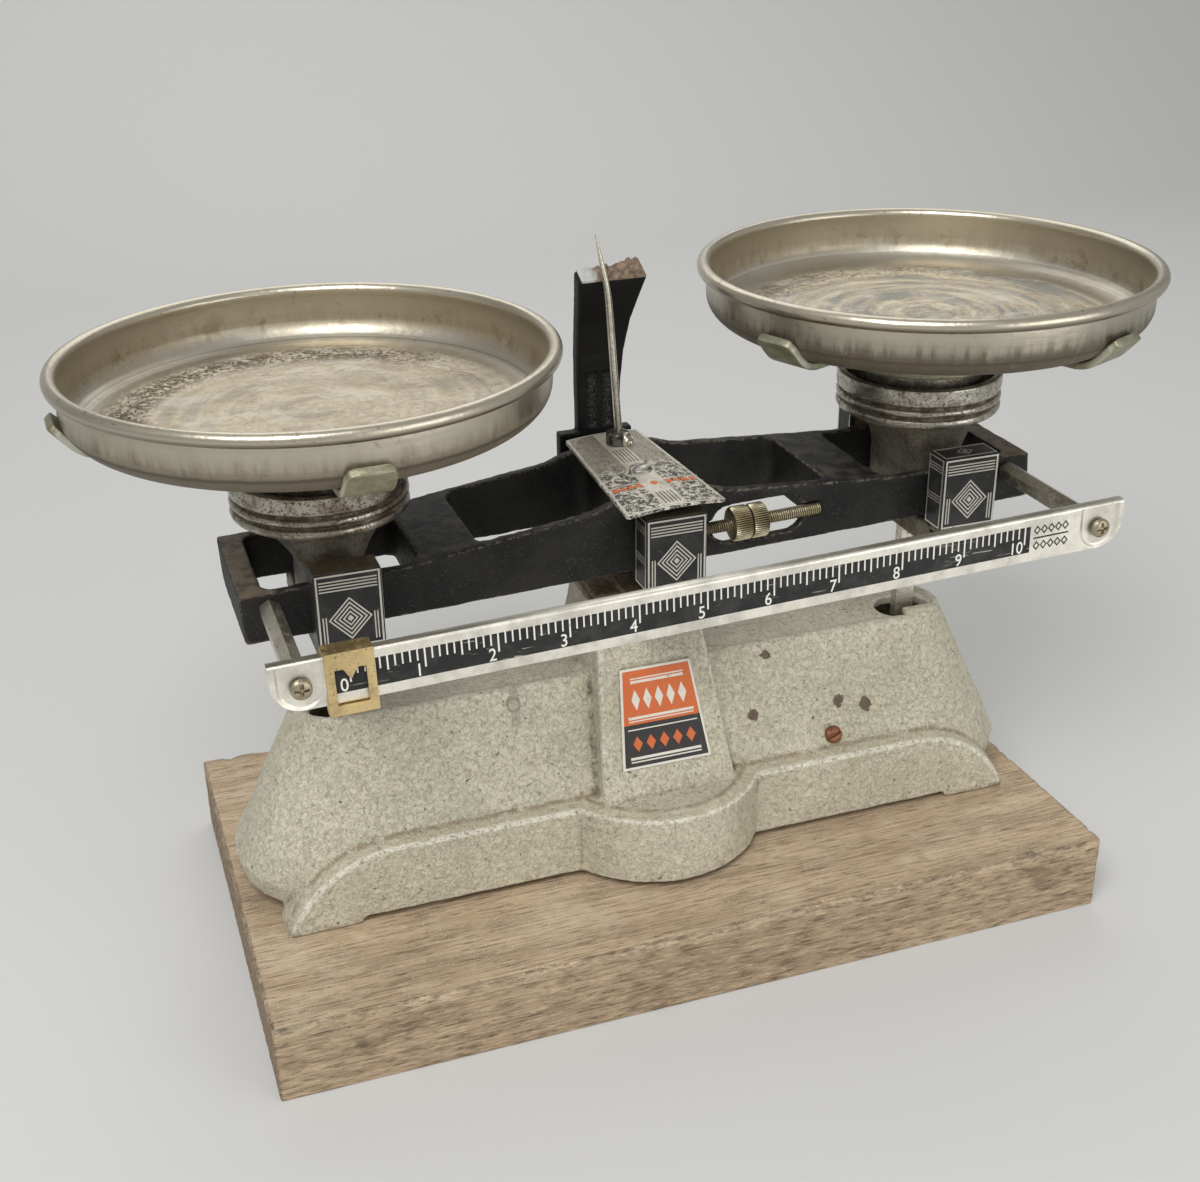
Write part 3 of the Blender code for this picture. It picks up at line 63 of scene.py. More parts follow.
def softLine(line, reach, count=5):  # each corner becomes a quadratic curve that starts reach away
    line = np.asarray(line, float)
    a, b, c = line[:-2], line[1:-1], line[2:]
    reach = np.broadcast_to(np.asarray(reach, float), (len(b),))[:, None]
    da, dc = a - b, c - b
    la, lc = np.linalg.norm(da, axis=1)[:, None], np.linalg.norm(dc, axis=1)[:, None]
    p, q = b + da / la * np.minimum(reach, la * 0.49), b + dc / lc * np.minimum(reach, lc * 0.49)
    t = np.linspace(0, 1, count)[None, :, None]
    curve = (1 - t) ** 2 * p[:, None] + 2 * t * (1 - t) * b[:, None] + t ** 2 * q[:, None]
    return np.concatenate([line[:1], curve.reshape(-1, line.shape[1]), line[-1:]])


def roundRect(hx, hy, r, count=6, cx=0.0, cy=0.0):  # four quarter circles, anticlockwise
    a = np.radians(np.linspace(0, 90, count))[None, :] + np.radians([0, 90, 180, 270])[:, None]
    sx, sy = np.array([1, -1, -1, 1])[:, None], np.array([1, 1, -1, -1])[:, None]
    r = max(min(r, hx, hy), 0.001)
    return np.stack([cx + sx * (hx - r) + r * np.cos(a), cy + sy * (hy - r) + r * np.sin(a)],
                    -1).reshape(-1, 2)


def inset(outline, amount):  # a closed outline moved inwards along its own normals
    ahead, behind = np.roll(outline, -1, 0) - outline, outline - np.roll(outline, 1, 0)
    ahead /= np.linalg.norm(ahead, axis=1)[:, None] + 1e-9
    behind /= np.linalg.norm(behind, axis=1)[:, None] + 1e-9
    along = ahead + behind
    along /= np.linalg.norm(along, axis=1)[:, None] + 1e-9
    cosine = np.clip((along * ahead).sum(1), 0.4, 1)[:, None]
    return outline + np.stack([-along[:, 1], along[:, 0]], 1) * amount / cosine


def dense(outline, gap=1.5):  # the same closed outline with more points along its edges
    ends = np.roll(outline, -1, 0)
    rows = []
    for a, b in zip(outline, ends):
        count = max(1, int(np.ceil(np.linalg.norm(b - a) / gap)))
        rows.append(a + (b - a) * np.arange(count)[:, None] / count)
    return np.concatenate(rows)


def skin(rings, loop=False):
    # rings (n, m, 3), each closed; the ends close on their middles, or on each other
    rings = np.asarray(rings, float)
    n, m, _ = rings.shape
    i, j = np.arange(n if loop else n - 1)[:, None], np.arange(m)[None, :]
    i2, j2 = (i + 1) % n, (j + 1) % m
    quads = np.stack([i * m + j, i * m + j2, i2 * m + j2, i2 * m + j], -1).reshape(-1, 4)
    points = rings.reshape(-1, 3)
    if loop:
        return points, quads, np.zeros((0, 3), int)
    points = np.concatenate([points, rings[:1].mean(1), rings[-1:].mean(1)])
    j, j2 = np.arange(m), (np.arange(m) + 1) % m
    first = np.stack([np.full(m, n * m), j2, j], 1)
    last = np.stack([np.full(m, n * m + 1), (n - 1) * m + j, (n - 1) * m + j2], 1)
    return points, quads, np.concatenate([first, last])


def lifted(outlines, heights):  # one outline per height
    return skin(np.stack([np.column_stack([o, np.full(len(o), h)]) for o, h in zip(outlines, heights)]))


def plateSkin(outline, low, high, edge=0.3, count=4):  # an outline with thickness and rounded rims
    edge = min(edge, (high - low) / 2)
    a = np.radians(np.linspace(0, 90, count))
    insets = np.concatenate([edge * (1 - np.sin(a)), edge * (1 - np.sin(a[::-1]))])
    heights = np.concatenate([low + edge * (1 - np.cos(a)), high - edge * (1 - np.cos(a[::-1]))])
    return lifted([inset(outline, d) for d in insets], heights)


def slab(low, high, edge=0.3, corner=None):  # a box with rounded edges, upright
    (x0, y0, z0), (x1, y1, z1) = low, high
    corner = edge if corner is None else corner
    outline = roundRect((x1 - x0) / 2, (y1 - y0) / 2, corner, 4, (x0 + x1) / 2, (y0 + y1) / 2)
    return plateSkin(outline, z0, z1, edge)


def spun(profile, steps=96, cx=0.0, cy=0.0):  # radius and height, turned about the upright axis
    profile = np.asarray(profile, float)
    a = np.linspace(0, 2 * np.pi, steps, endpoint=False)
    r = profile[:, :1]
    z = np.broadcast_to(profile[:, 1:], (len(profile), steps))
    return skin(np.stack([cx + r * np.cos(a), cy + r * np.sin(a), z], -1))


def closedSheet(top, under, n):  # two n by n grids of points, back to back, that meet at their rims
    i, j = np.arange(n - 1)[:, None] * n, np.arange(n - 1)[None, :]
    quads = np.stack([i + j, i + n + j, i + n + j + 1, i + j + 1], -1).reshape(-1, 4)
    return np.concatenate([top, under]), np.concatenate([quads, quads[:, ::-1] + n * n]), np.zeros((0, 3),
            int)


def swept(path, section, side):  # a closed section carried along a path; side stays its first axis
    path, side = np.asarray(path, float), np.asarray(side, float)
    section = np.broadcast_to(np.asarray(section, float), (len(path),) + np.shape(section)[-2:])
    along = np.gradient(path, axis=0)
    along /= np.linalg.norm(along, axis=1)[:, None]
    first = side - along * (along @ side)[:, None]
    first /= np.linalg.norm(first, axis=1)[:, None]
    second = np.cross(along, first)
    return skin(path[:, None] + section[..., :1] * first[:, None] + section[..., 1:] * second[:, None])


def ripple(points, size, seed, terms=14):  # smooth noise: cosines in seeded directions, from -1 to 1
    rng = np.random.default_rng(seed)
    k = rng.normal(size=(terms, 3))
    k *= (2 * np.pi / size) * rng.uniform(0.6, 1.5, (terms, 1)) / np.linalg.norm(k, axis=1)[:, None]
    phase = rng.uniform(0, 2 * np.pi, terms)
    return np.cos(points @ k.T + phase).sum(1) / terms ** 0.5


def moved(surface, matrix):  # a surface turned or shifted, in millimetres
    m = np.array(matrix)
    return (surface[0] @ m[:3, :3].T + m[:3, 3],) + tuple(surface[1:])


def puts(name, surfaces, look, body, place=None, stands=(), bend=35, attributes=None):
    # surfaces become one piece that rides on a body and stands for CAD nodes
    surfaces = surfaces if isinstance(surfaces, list) else [surfaces]
    points, faces, count = [], [], 0
    for surface in surfaces:
        points.append(surface[0])
        for group in surface[1:]:
            faces += (group + count).tolist()
        count += len(surface[0])
    points = np.concatenate(points) * mm
    if place is not None:
        m = np.array(place)
        points = points @ m[:3, :3].T + m[:3, 3]
    mesh = bpy.data.meshes.new(name)
    mesh.from_pydata(points.tolist(), [], faces)
    bm = bmesh.new()
    bm.from_mesh(mesh)
    bmesh.ops.recalc_face_normals(bm, faces=bm.faces)
    bm.to_mesh(mesh)
    bm.free()
    return settles(name, mesh, look, body, stands, bend, attributes)


def settles(name, mesh, look, body, stands=(), bend=35, attributes=None):
    for key, values in (attributes or {}).items():
        layer = mesh.attributes.new(key, "FLOAT", "POINT")
        layer.data.foreach_set("value", np.asarray(values, np.float32))
    mesh.shade_smooth()
    mesh.set_sharp_from_angle(angle=math.radians(bend))
    mesh.materials.append(look)
    piece = bpy.data.objects.new(name, mesh)
    bpy.context.scene.collection.objects.link(piece)
    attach(piece, body)
    if stands:
        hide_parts(*stands)
    return piece


def meshRows(mesh):  # a mesh's points and normals, one row each, in metres
    points, normals = np.zeros(len(mesh.vertices) * 3), np.zeros(len(mesh.vertices) * 3)
    mesh.vertices.foreach_get("co", points)
    mesh.vertex_normals.foreach_get("vector", normals)
    return points.reshape(-1, 3), normals.reshape(-1, 3)


def movePoints(mesh, points):  # points in millimetres become the mesh's points
    mesh.vertices.foreach_set("co", (points * mm).ravel().astype(np.float32))


def castMesh(node, grid, rounds, edge=10, hidden=None, keep=0.5):
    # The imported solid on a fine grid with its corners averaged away. Its wear is how far each point
    # stands out from a smoother copy, so it is positive on edges and negative in corners. Where
    # hidden(points) is true, faces are merged until the share keep is left.
    bm = bmesh.new()
    bm.from_mesh(frame["nodes"][node].data)
    bmesh.ops.remove_doubles(bm, verts=bm.verts, dist=1e-6)
    mesh = bpy.data.meshes.new(node + "_grid")
    bm.to_mesh(mesh)
    bm.free()
    piece = bpy.data.objects.new(node + "_grid", mesh)
    bpy.context.scene.collection.objects.link(piece)
    remesh = piece.modifiers.new("grid", "REMESH")
    remesh.mode = "VOXEL"
    remesh.voxel_size = grid * mm
    even = piece.modifiers.new("even", "SMOOTH")
    even.factor = 0.5
    found = []
    for turns in (rounds, rounds + edge):
        even.iterations = turns
        graph = bpy.context.evaluated_depsgraph_get()
        found.append(bpy.data.meshes.new_from_object(piece.evaluated_get(graph)))
    near, normals = meshRows(found[0])
    wear = ((near - meshRows(found[1])[0]) * normals).sum(1) / mm
    found[0].attributes.new("wear", "FLOAT", "POINT").data.foreach_set("value", wear.astype(np.float32))
    if hidden:
        piece.modifiers.clear()
        piece.data = found[0]
        inner = piece.vertex_groups.new(name="inner")
        inner.add(np.nonzero(hidden(near / mm))[0].tolist(), 1.0, "REPLACE")
        fewer = piece.modifiers.new("fewer", "DECIMATE")
        fewer.vertex_group, fewer.vertex_group_factor, fewer.ratio = "inner", 10.0, keep
        graph = bpy.context.evaluated_depsgraph_get()
        found[0] = bpy.data.meshes.new_from_object(piece.evaluated_get(graph))
        near, normals = meshRows(found[0])
    bpy.data.objects.remove(piece)
    return found[0], near / mm, normals


def dress(node, look, edge=0.0):  # a CAD node keeps its shape and gets a look and fine edges
    piece = frame["nodes"][node]
    piece.data.materials.clear()
    piece.data.materials.append(look)
    if edge:
        weld = piece.modifiers.new("weld", "WELD")
        weld.merge_threshold = 1e-6
        bevel = piece.modifiers.new("edge", "BEVEL")
        bevel.width = edge * mm
        bevel.segments = 2
        bevel.limit_method = "ANGLE"
        bevel.angle_limit = math.radians(40)
        bevel.use_clamp_overlap = True


class Wire:  # a socket's value; sums on it add Math nodes
    def __init__(self, look, socket):
        self.look, self.socket = look, socket

    def sum(self, operation, *values):
        return self.look.add("ShaderNodeMath", {"operation": operation}, dict(enumerate(values)))

    def __add__(self, other): return self.sum("ADD", self, other)
    def __radd__(self, other): return self.sum("ADD", other, self)
    def __sub__(self, other): return self.sum("SUBTRACT", self, other)
    def __rsub__(self, other): return self.sum("SUBTRACT", other, self)
    def __mul__(self, other): return self.sum("MULTIPLY", self, other)
    def __rmul__(self, other): return self.sum("MULTIPLY", other, self)
    def __truediv__(self, other): return self.sum("DIVIDE", self, other)
    def __pow__(self, other): return self.sum("POWER", self, other)
    def __neg__(self): return self.sum("MULTIPLY", self, -1.0)
    def __abs__(self): return self.sum("ABSOLUTE", self)
    def sine(self): return self.sum("SINE", self)
    def angle(self, other): return self.sum("ARCTAN2", self, other)
    def __or__(self, other): return self.sum("MAXIMUM", self, other)
    def __and__(self, other): return self.sum("MINIMUM", self, other)

    def step(self, low, high):  # 0 below low, 1 above high, smooth between; reversed when high < low
        if high < low:
            return 1.0 - self.step(high, low)
        return self.look.add("ShaderNodeMapRange", {"interpolation_type": "SMOOTHSTEP"},
                             {"Value": self, "From Min": low, "From Max": high})


class Look:  # one material on a Principled shader
    def __init__(self, name, color, roughness=0.5, metallic=0.0, **fixed):
        self.material = bpy.data.materials.new(name)
        self.material.use_nodes = True
        self.tree = self.material.node_tree
        self.shader = self.tree.nodes["Principled BSDF"]
        self.set(**{"Base Color": color, "Roughness": roughness, "Metallic": metallic}, **fixed)

    def set(self, **values):
        for key, value in values.items():
            self.feed(self.shader.inputs[key.replace("_", " ")], value)
        return self.material

    def feed(self, socket, value):
        if isinstance(value, Wire):
            self.tree.links.new(value.socket, socket)
        elif isinstance(value, tuple) and socket.type == "RGBA":
            socket.default_value = (*value[:3], 1.0)
        else:
            socket.default_value = value

    def add(self, kind, settings=None, sockets=None, out=0):
        node = self.tree.nodes.new(kind)
        for key, value in (settings or {}).items():
            setattr(node, key, value)
        for key, value in (sockets or {}).items():
            self.feed(node.inputs[key], value)
        return Wire(self, node.outputs[out])

    def place(self):
        return self.add("ShaderNodeTexCoord", out="Object")

    def axes(self, vector=None):
        vector = vector or self.place()
        return [self.add("ShaderNodeSeparateXYZ", None, {0: vector}, out=i) for i in range(3)]

    def upward(self):  # the height of the surface's own normal: 1 on top faces, -1 on lower ones
        return self.axes(self.add("ShaderNodeNewGeometry", out="Normal"))[2]

    def join(self, x, y, z):
        return self.add("ShaderNodeCombineXYZ", None, {0: x, 1: y, 2: z})

    def stretch(self, scale, shift=(0, 0, 0), turn=(0, 0, 0)):
        return self.add("ShaderNodeMapping", None,
                        {"Vector": self.place(), "Scale": scale, "Location": shift, "Rotation": turn})

    def noise(self, size, detail=3.0, rough=0.55, vector=None, twist=0.0):  # size of a blotch in mm
        return self.add("ShaderNodeTexNoise", None,
                        {"Vector": vector or self.place(), "Scale": 1000.0 / size, "Detail": detail,
                         "Roughness": rough, "Distortion": twist})

    def mix(self, share, a, b, blend="MIX"):
        return self.add("ShaderNodeMix", {"data_type": "RGBA", "blend_type": blend, "clamp_factor": True},
                        {0: share, 6: a, 7: b}, out=2)

    def attribute(self, name):
        return self.add("ShaderNodeAttribute", {"attribute_name": name}, out="Fac")

    def bump(self, *layers):  # (height, millimetres) pairs, one over the other
        normal = None
        for height, depth in layers:
            sockets = {"Height": height, "Distance": depth * mm, "Strength": 1.0}
            if normal:
                sockets["Normal"] = normal
            normal = self.add("ShaderNodeBump", None, sockets)
        return normal

    def near(self, x, y, z, size, fray=0.25):  # 1 within size of a point in metres, with a frayed border
        px, py, pz = self.axes()
        away = ((px - x) ** 2.0 + (py - y) ** 2.0 + (pz - z) ** 2.0) ** 0.5
        return (away + (self.noise(size * 600, 5.0, 0.7) - 0.5) * (2 * fray * size)).step(size, size * 0.85)


# each chip's place in metres, its size and how frayed it is
paintChips = ((0.0360, -0.0209, 0.0699, 0.0021, 1.0), (0.0688, -0.0211, 0.0694, 0.0023, 1.1),
              (0.0791, -0.0224, 0.0668, 0.0025, 1.0), (0.0438, -0.0124, 0.0879, 0.0019, 1.5))


def hammeredPaint():
    look = Look("hammered_paint", (0.42, 0.385, 0.30), 0.5, 0.0)
    x, y, z = look.axes()
    wear, ledge, seam = look.attribute("wear"), look.attribute("ledge"), look.attribute("seam")
    blotch, mid = look.noise(30, 4.0), look.noise(6.0, 4.0, 0.6)
    fine, grain = look.noise(1.5, 5.0, 0.66, None, 0.6), look.noise(0.55, 3.0, 0.65)
    crease = abs(look.noise(2.4, 4.0, 0.62, None, 0.5) - 0.5)
    color = look.mix(blotch.step(0.32, 0.68), (0.565, 0.53, 0.40), (0.655, 0.615, 0.475))
    color = look.mix(mid.step(0.48, 0.70) * 0.35, color, (0.47, 0.43, 0.315))
    color = look.mix(crease.step(0.026, 0.0) * 0.34, color, (0.29, 0.26, 0.18))
    color = look.mix(fine.step(0.53, 0.63) * 0.52, color, (0.29, 0.26, 0.18))
    color = look.mix(fine.step(0.42, 0.32) * 0.42, color, (0.78, 0.735, 0.60))
    color = look.mix(grain.step(0.57, 0.66) * 0.5, color, (0.18, 0.155, 0.105))
    pits = look.noise(2.3, 5.0, 0.75).step(0.645, 0.675)
    color = look.mix(pits * 0.85, color, (0.06, 0.048, 0.035))
    # the plinth's ledge is rubbed to a pale beige, with a brown line behind it
    ochre = ledge * (0.35 + 0.65 * look.noise(9, 4.0, 0.65).step(0.38, 0.6))
    color = look.mix(ochre * 0.7, color, (0.61, 0.54, 0.39))
    color = look.mix(seam * look.noise(5, 4.0, 0.7).step(0.36, 0.56) * 0.75, color, (0.30, 0.215, 0.13))
    corner = (-wear).step(0.04, 0.22)
    dirt = (corner * (0.25 + 0.75 * look.noise(12, 4.0, 0.65).step(0.35, 0.6))
            * (0.5 + 0.5 * fine.step(0.35, 0.55)))
    color = look.mix(dirt * 0.85, color, (0.11, 0.078, 0.048))
    rub = wear.step(0.07, 0.20) * (0.35 + 0.65 * fine.step(0.62, 0.45))
    color = look.mix(rub * 0.85, color, (0.80, 0.765, 0.65))
    speck = wear.step(0.05, 0.2) * look.noise(1.1, 4.0, 0.75).step(0.60, 0.66)
    color = look.mix(speck * 0.85, color, (0.13, 0.10, 0.07))
    # chips on the right of the front, a run of paint on its left and a cool scratch
    chips = look.near(*paintChips[0])
    for spot in paintChips[1:]:
        chips = chips | look.near(*spot)
    color = look.mix(chips * 0.9, color, (0.105, 0.07, 0.043))
    scratch = abs(x - 0.0637).step(0.0011, 0.0005) * abs(z - 0.0631).step(0.0015, 0.0009)
    scratch = scratch * look.noise(1.6).step(0.5, 0.62) * y.step(-0.005, -0.012)
    color = look.mix(scratch * 0.7, color, (0.20, 0.27, 0.30))
    front = y.step(-0.004, -0.008)
    run = (abs(x + 0.0479 + (look.noise(9) - 0.5) * 0.002).step(0.0017, 0.0010)
           * (0.0925 - z).step(0.0, 0.0012))
    run = run * z.step(0.0795, 0.0815) * front
    ring = abs(((x + 0.0482) ** 2.0 + (z - 0.0868) ** 2.0) ** 0.5 - 0.0021).step(0.0007, 0.0002) * front
    color = look.mix((run * 0.35) | (ring * 0.6), color, (0.17, 0.155, 0.12))
    # painted shade in patches along the base's lowest few millimetres, in the gap where it meets the board
    foot = (0.0302 - z).step(-0.001, 0.0022) * look.noise(6, 4.0).step(0.35, 0.65)
    color = look.mix(foot * 0.6, color, (0.16, 0.13, 0.095))
    rough = 0.44 + fine * 0.22 + dirt * 0.25 + chips * 0.2 - rub * 0.1
    normal = look.bump((fine, 0.60), (crease.step(0.0, 0.05), 0.12), (grain, 0.10),
                       (look.noise(3.6, 2.0), 0.5), (1.0 - pits, 0.3), (run, 0.3),
                       (1.0 - (chips | speck), 0.25))
    return look.set(Base_Color=color, Roughness=rough, Normal=normal)


def wrinkleBlack(name, dust=0.5, edges=0.7, level=1.0):
    look = Look(name, (0.016, 0.016, 0.016), 0.5, 0.0, Specular_IOR_Level=0.28)
    x, _, z = look.axes()
    wear = look.attribute("wear")
    crust = look.noise(1.1, 4.0, 0.7)
    specks = look.noise(0.55, 2.0).step(0.62, 0.70)
    # a level below 1 darkens both tones as painted shade, for the arm
    shades = [tuple(level * c for c in shade) for shade in ((0.007, 0.007, 0.007), (0.020, 0.019, 0.0175))]
    color = look.mix(look.noise(24).step(0.35, 0.7), *shades)
    color = look.mix(specks * 0.30 * dust, color, (0.15, 0.14, 0.12))
    up = look.upward().step(0.6, 0.95)
    color = look.mix(up * look.noise(6, 4.0).step(0.40, 0.70) * 0.5 * dust, color, (0.125, 0.105, 0.078))
    bare = up * abs(x).step(0.1228, 0.1252) * (0.4 + 0.6 * look.noise(5, 4.0, 0.65).step(0.38, 0.58)) * dust
    color = look.mix(bare * 0.9, color, (0.225, 0.18, 0.125))
    chip = wear.step(0.08, 0.20) * look.noise(1.9, 5.0, 0.75).step(0.47, 0.54)
    color = look.mix(chip * edges, color, (0.27, 0.245, 0.20))
    rust = wear.step(0.04, 0.16) * look.noise(7, 3.0).step(0.54, 0.68)
    color = look.mix(rust * 0.6 * edges, color, (0.13, 0.078, 0.045))
    # on the arm (level below 1), a speckled painted highlight along its two flutes
    if level < 1:
        flutes = ((abs(x + 0.0014) & abs(x - 0.0042)).step(0.0021, 0.0013) * z.step(0.1605, 0.1625)
                  * z.step(0.184, 0.178))
        color = look.mix(flutes * look.noise(0.7, 3.0, 0.7).step(0.46, 0.64) * 0.5, color,
                         (0.14, 0.13, 0.115))
    rough = 0.42 + crust * 0.3 + chip * 0.1
    return look.set(Base_Color=color, Roughness=rough, Metallic=chip * 0.4,
                    Normal=look.bump((crust, 0.26), (look.noise(5, 2.0), 0.25), (1.0 - chip, 0.12)))


def panMetal(name, cx, seed, crusted):
    # crusted 1 is the left pan's thick sandy coat, 0 the right pan's thin rings of haze
    look = Look(name, (0.6, 0.57, 0.5), 0.3, 1.0)
    x, y, z = look.axes()
    dx = x - cx
    r = (dx ** 2.0 + y ** 2.0) ** 0.5
    inside, under, bead = look.attribute("inside"), look.attribute("under"), look.attribute("bead")
    shift = look.stretch((1, 1, 1), (seed, seed * 0.7, 0))
    lathe = look.noise(0.7, 2.0, 0.5, look.join(r, seed, z * 0.7))
    broad = look.noise(4.2, 3.0, 0.6, look.join(r, seed + 1.0, z))
    stain, crumbs = look.noise(26, 5.0, 0.62, shift), look.noise(1.9, 5.0, 0.78, shift)
    sand, clump = look.noise(0.8, 3.0, 0.7, shift), look.noise(12, 4.0, 0.7, shift)
    tone = look.mix(broad.step(0.3, 0.7), (0.47, 0.435, 0.36), (0.60, 0.565, 0.485))
    tone = look.mix(stain.step(0.40, 0.66) * 0.5, tone, (0.44, 0.375, 0.265))
    # the upright wall is warm, with faint vertical drips
    drips = look.noise(3.0, 4.0, 0.6, look.stretch((1, 1, 0.12), (seed, 0, 0)))
    wall = inside * r.step(0.0700, 0.0722)
    tone = look.mix(wall * (0.25 + 0.5 * drips.step(0.35, 0.65)), tone, (0.40, 0.345, 0.24))
    stains = wall * look.noise(9, 5.0, 0.7, shift).step(0.53, 0.62)
    tone = look.mix(stains * 0.55, tone, (0.25, 0.20, 0.125))
    # in the cove, concentric painted reflection: dark rings and a bright painted highlight band
    cove = inside * r.step(0.0600, 0.0630) * r.step(0.0722, 0.0700)
    tone = look.mix(cove * broad.step(0.52, 0.62) * 0.7, tone, (0.30, 0.275, 0.22))
    tone = look.mix(cove * broad.step(0.44, 0.34) * 0.6, tone, (0.78, 0.75, 0.67))
    floor = inside * r.step(0.0655, 0.0605)
    edge = (stain * 0.8 + broad * 0.4 + (crumbs - 0.5) * 0.55)
    film = floor * edge.step(0.30 + 0.10 * (1 - crusted), 0.60)
    tone = look.mix(film * (0.40 + 0.40 * crusted), tone, (0.60, 0.52, 0.385))
    turned = floor * broad.step(0.50, 0.64) * (1 - 0.5 * crusted)
    tone = look.mix(turned * 0.45, tone, (0.36, 0.33, 0.265))
    tone = look.mix(film * crumbs.step(0.51, 0.59) * 0.55, tone, (0.37, 0.29, 0.19))
    tone = look.mix(film * crumbs.step(0.47, 0.40) * 0.5, tone, (0.74, 0.68, 0.55))
    tone = look.mix(film * clump.step(0.50, 0.62) * 0.35, tone, (0.42, 0.34, 0.235))
    turn = y.angle(dx) * 0.007
    arcs = look.noise(6, 5.0, 0.6, look.join(r * 1.5, turn, seed))
    cool, warm = floor * arcs.step(0.51, 0.58), floor * arcs.step(0.46, 0.39)
    tone = look.mix(cool * (0.25 + 0.6 * (1 - crusted)), tone, (0.285, 0.295, 0.285))
    tone = look.mix(warm * (0.2 + 0.55 * (1 - crusted)), tone, (0.80, 0.72, 0.55))
    powder = floor * (look.noise(19, 5.0, 0.66, look.stretch((1, 1.5, 1), (seed * 2, 0.3, 0))) * 0.85
                      + crumbs * 0.3).step(0.60, 0.70)
    tone = look.mix(powder * 0.6, tone, (0.70, 0.665, 0.58))
    # dark crumbs gather in a ring outside the step, mostly at the back and the left
    around = (y * 9.0 - dx * 5.0).step(-0.25, 0.35)
    ring = inside * abs(r - 0.0555).step(0.0115, 0.002)
    dark = (ring * around
            * (crumbs * 0.7 + sand * 0.35 + clump * 0.35).step(0.69 + 0.04 * (1 - crusted), 0.75))
    tone = look.mix(dark * (0.45 + 0.45 * crusted), tone, (0.13, 0.10, 0.06))
    smoke = floor * look.noise(15, 5.0, 0.7, look.stretch((1, 1.8, 1), (seed * 3, 1.7, 0))).step(0.56, 0.70)
    tone = look.mix(smoke * (0.2 + 0.4 * crusted), tone, (0.22, 0.185, 0.135))
    specks = look.noise(1.3, 3.0, 0.6, shift).step(0.67, 0.73)
    tone = look.mix(specks * 0.55, tone, (0.12, 0.095, 0.06))
    # outside, a dark lower band of painted reflection, and lines where the sheet turns under
    up = z - look.attribute("foot")
    low = under * up.step(0.0105, 0.0045)
    groove = (under * (abs(up - 0.0058 - (drips - 0.5) * 0.001).step(0.0009, 0.0002)
                       | (up - 0.0148).step(0.0, 0.0012)))
    tone = look.mix(low * (0.4 + 0.5 * drips.step(0.4, 0.62)), tone, (0.15, 0.12, 0.08))
    shade = tuple(a + (b - a) * crusted for a, b in zip((0.10, 0.088, 0.062), (0.36, 0.32, 0.235)))
    tone = look.mix(under * (0.78 + 0.2 * drips.step(0.42, 0.66)), tone, shade)
    bands = look.noise(4.0, 3.0, 0.6, look.join(seed, drips * 0.002, z))
    tone = look.mix(under * bands.step(0.50, 0.60) * 0.35, tone, (0.12, 0.095, 0.06))
    smear = look.noise(9, 5.0, 0.7, look.stretch((1, 1, 0.35), (seed, 1, 0)))
    tone = look.mix(under * smear.step(0.54, 0.64) * 0.45, tone, (0.17, 0.135, 0.085))
    tone = look.mix(under * smear.step(0.45, 0.36) * 0.40, tone, (0.52, 0.475, 0.37))
    tone = look.mix(under * up.step(0.0075, 0.0105) * up.step(0.0155, 0.0125) * drips.step(0.6, 0.4) * 0.45,
                    tone, (0.56, 0.52, 0.42))
    tone = look.mix(groove * 0.85, tone, (0.07, 0.055, 0.035))
    tone = look.mix(bead * 0.8, tone, (0.56, 0.515, 0.41))
    # painted shade on the downward-facing parts of the bead and the outside
    down = look.upward().step(0.15, -0.55)
    tone = look.mix(down * (bead | under) * 0.72, tone, (0.115, 0.095, 0.065))
    rust = bead * look.noise(3.2, 5.0, 0.75, shift).step(0.60, 0.68)
    tone = look.mix(rust * 0.7, tone, (0.30, 0.235, 0.145))
    coat = film * (0.3 + 0.5 * crusted) | powder * 0.6
    rough = 0.27 + coat * 0.35 + stain * 0.14 + lathe * 0.08 + low * 0.25 + wall * 0.10 - bead * 0.06
    metal = 1.0 - (coat * 0.85 | dark * 0.6 | low * 0.5)
    normal = look.bump((lathe, 0.04), (broad, 0.12), (crumbs * coat, 0.55), (sand * coat, 0.30),
                       (stain, 0.6), (dark, 0.25))
    return look.set(Base_Color=tone, Roughness=rough, Metallic=metal, Normal=normal)


def brightMetal(name, color, rough=0.3, dirt=0.5, grain=0.0, pits=0.3, soil=(0.10, 0.075, 0.05)):
    look = Look(name, color, rough, 1.0)
    fine, broad = look.noise(0.7, 4.0, 0.65), look.noise(9, 4.0, 0.6)
    dark = tuple(c * 0.72 for c in color)
    tone = look.mix(broad.step(0.35, 0.7), color, dark)
    spots = look.noise(1.3, 4.0, 0.7).step(0.58, 0.66)
    tone = look.mix(spots * pits, tone, soil)
    film = look.noise(4.5, 5.0, 0.65).step(0.5, 0.68)
    tone = look.mix(film * dirt * 0.6, tone, tuple(0.5 * (a + b) for a, b in zip(dark, soil)))
    streak = look.noise(0.5, 2.0, 0.5, look.stretch((0.04, 1, 1)))
    roughness = rough + film * 0.22 * dirt + (fine - 0.5) * 0.15 + spots * 0.2
    layers = [(fine, 0.05), (1.0 - spots, 0.10 * pits)]
    if grain:
        layers.append((streak, grain))
    return look.set(Base_Color=tone, Roughness=roughness,
                    Metallic=1.0 - film * dirt * 0.4 - spots * pits * 0.4,
                    Normal=look.bump(*layers))


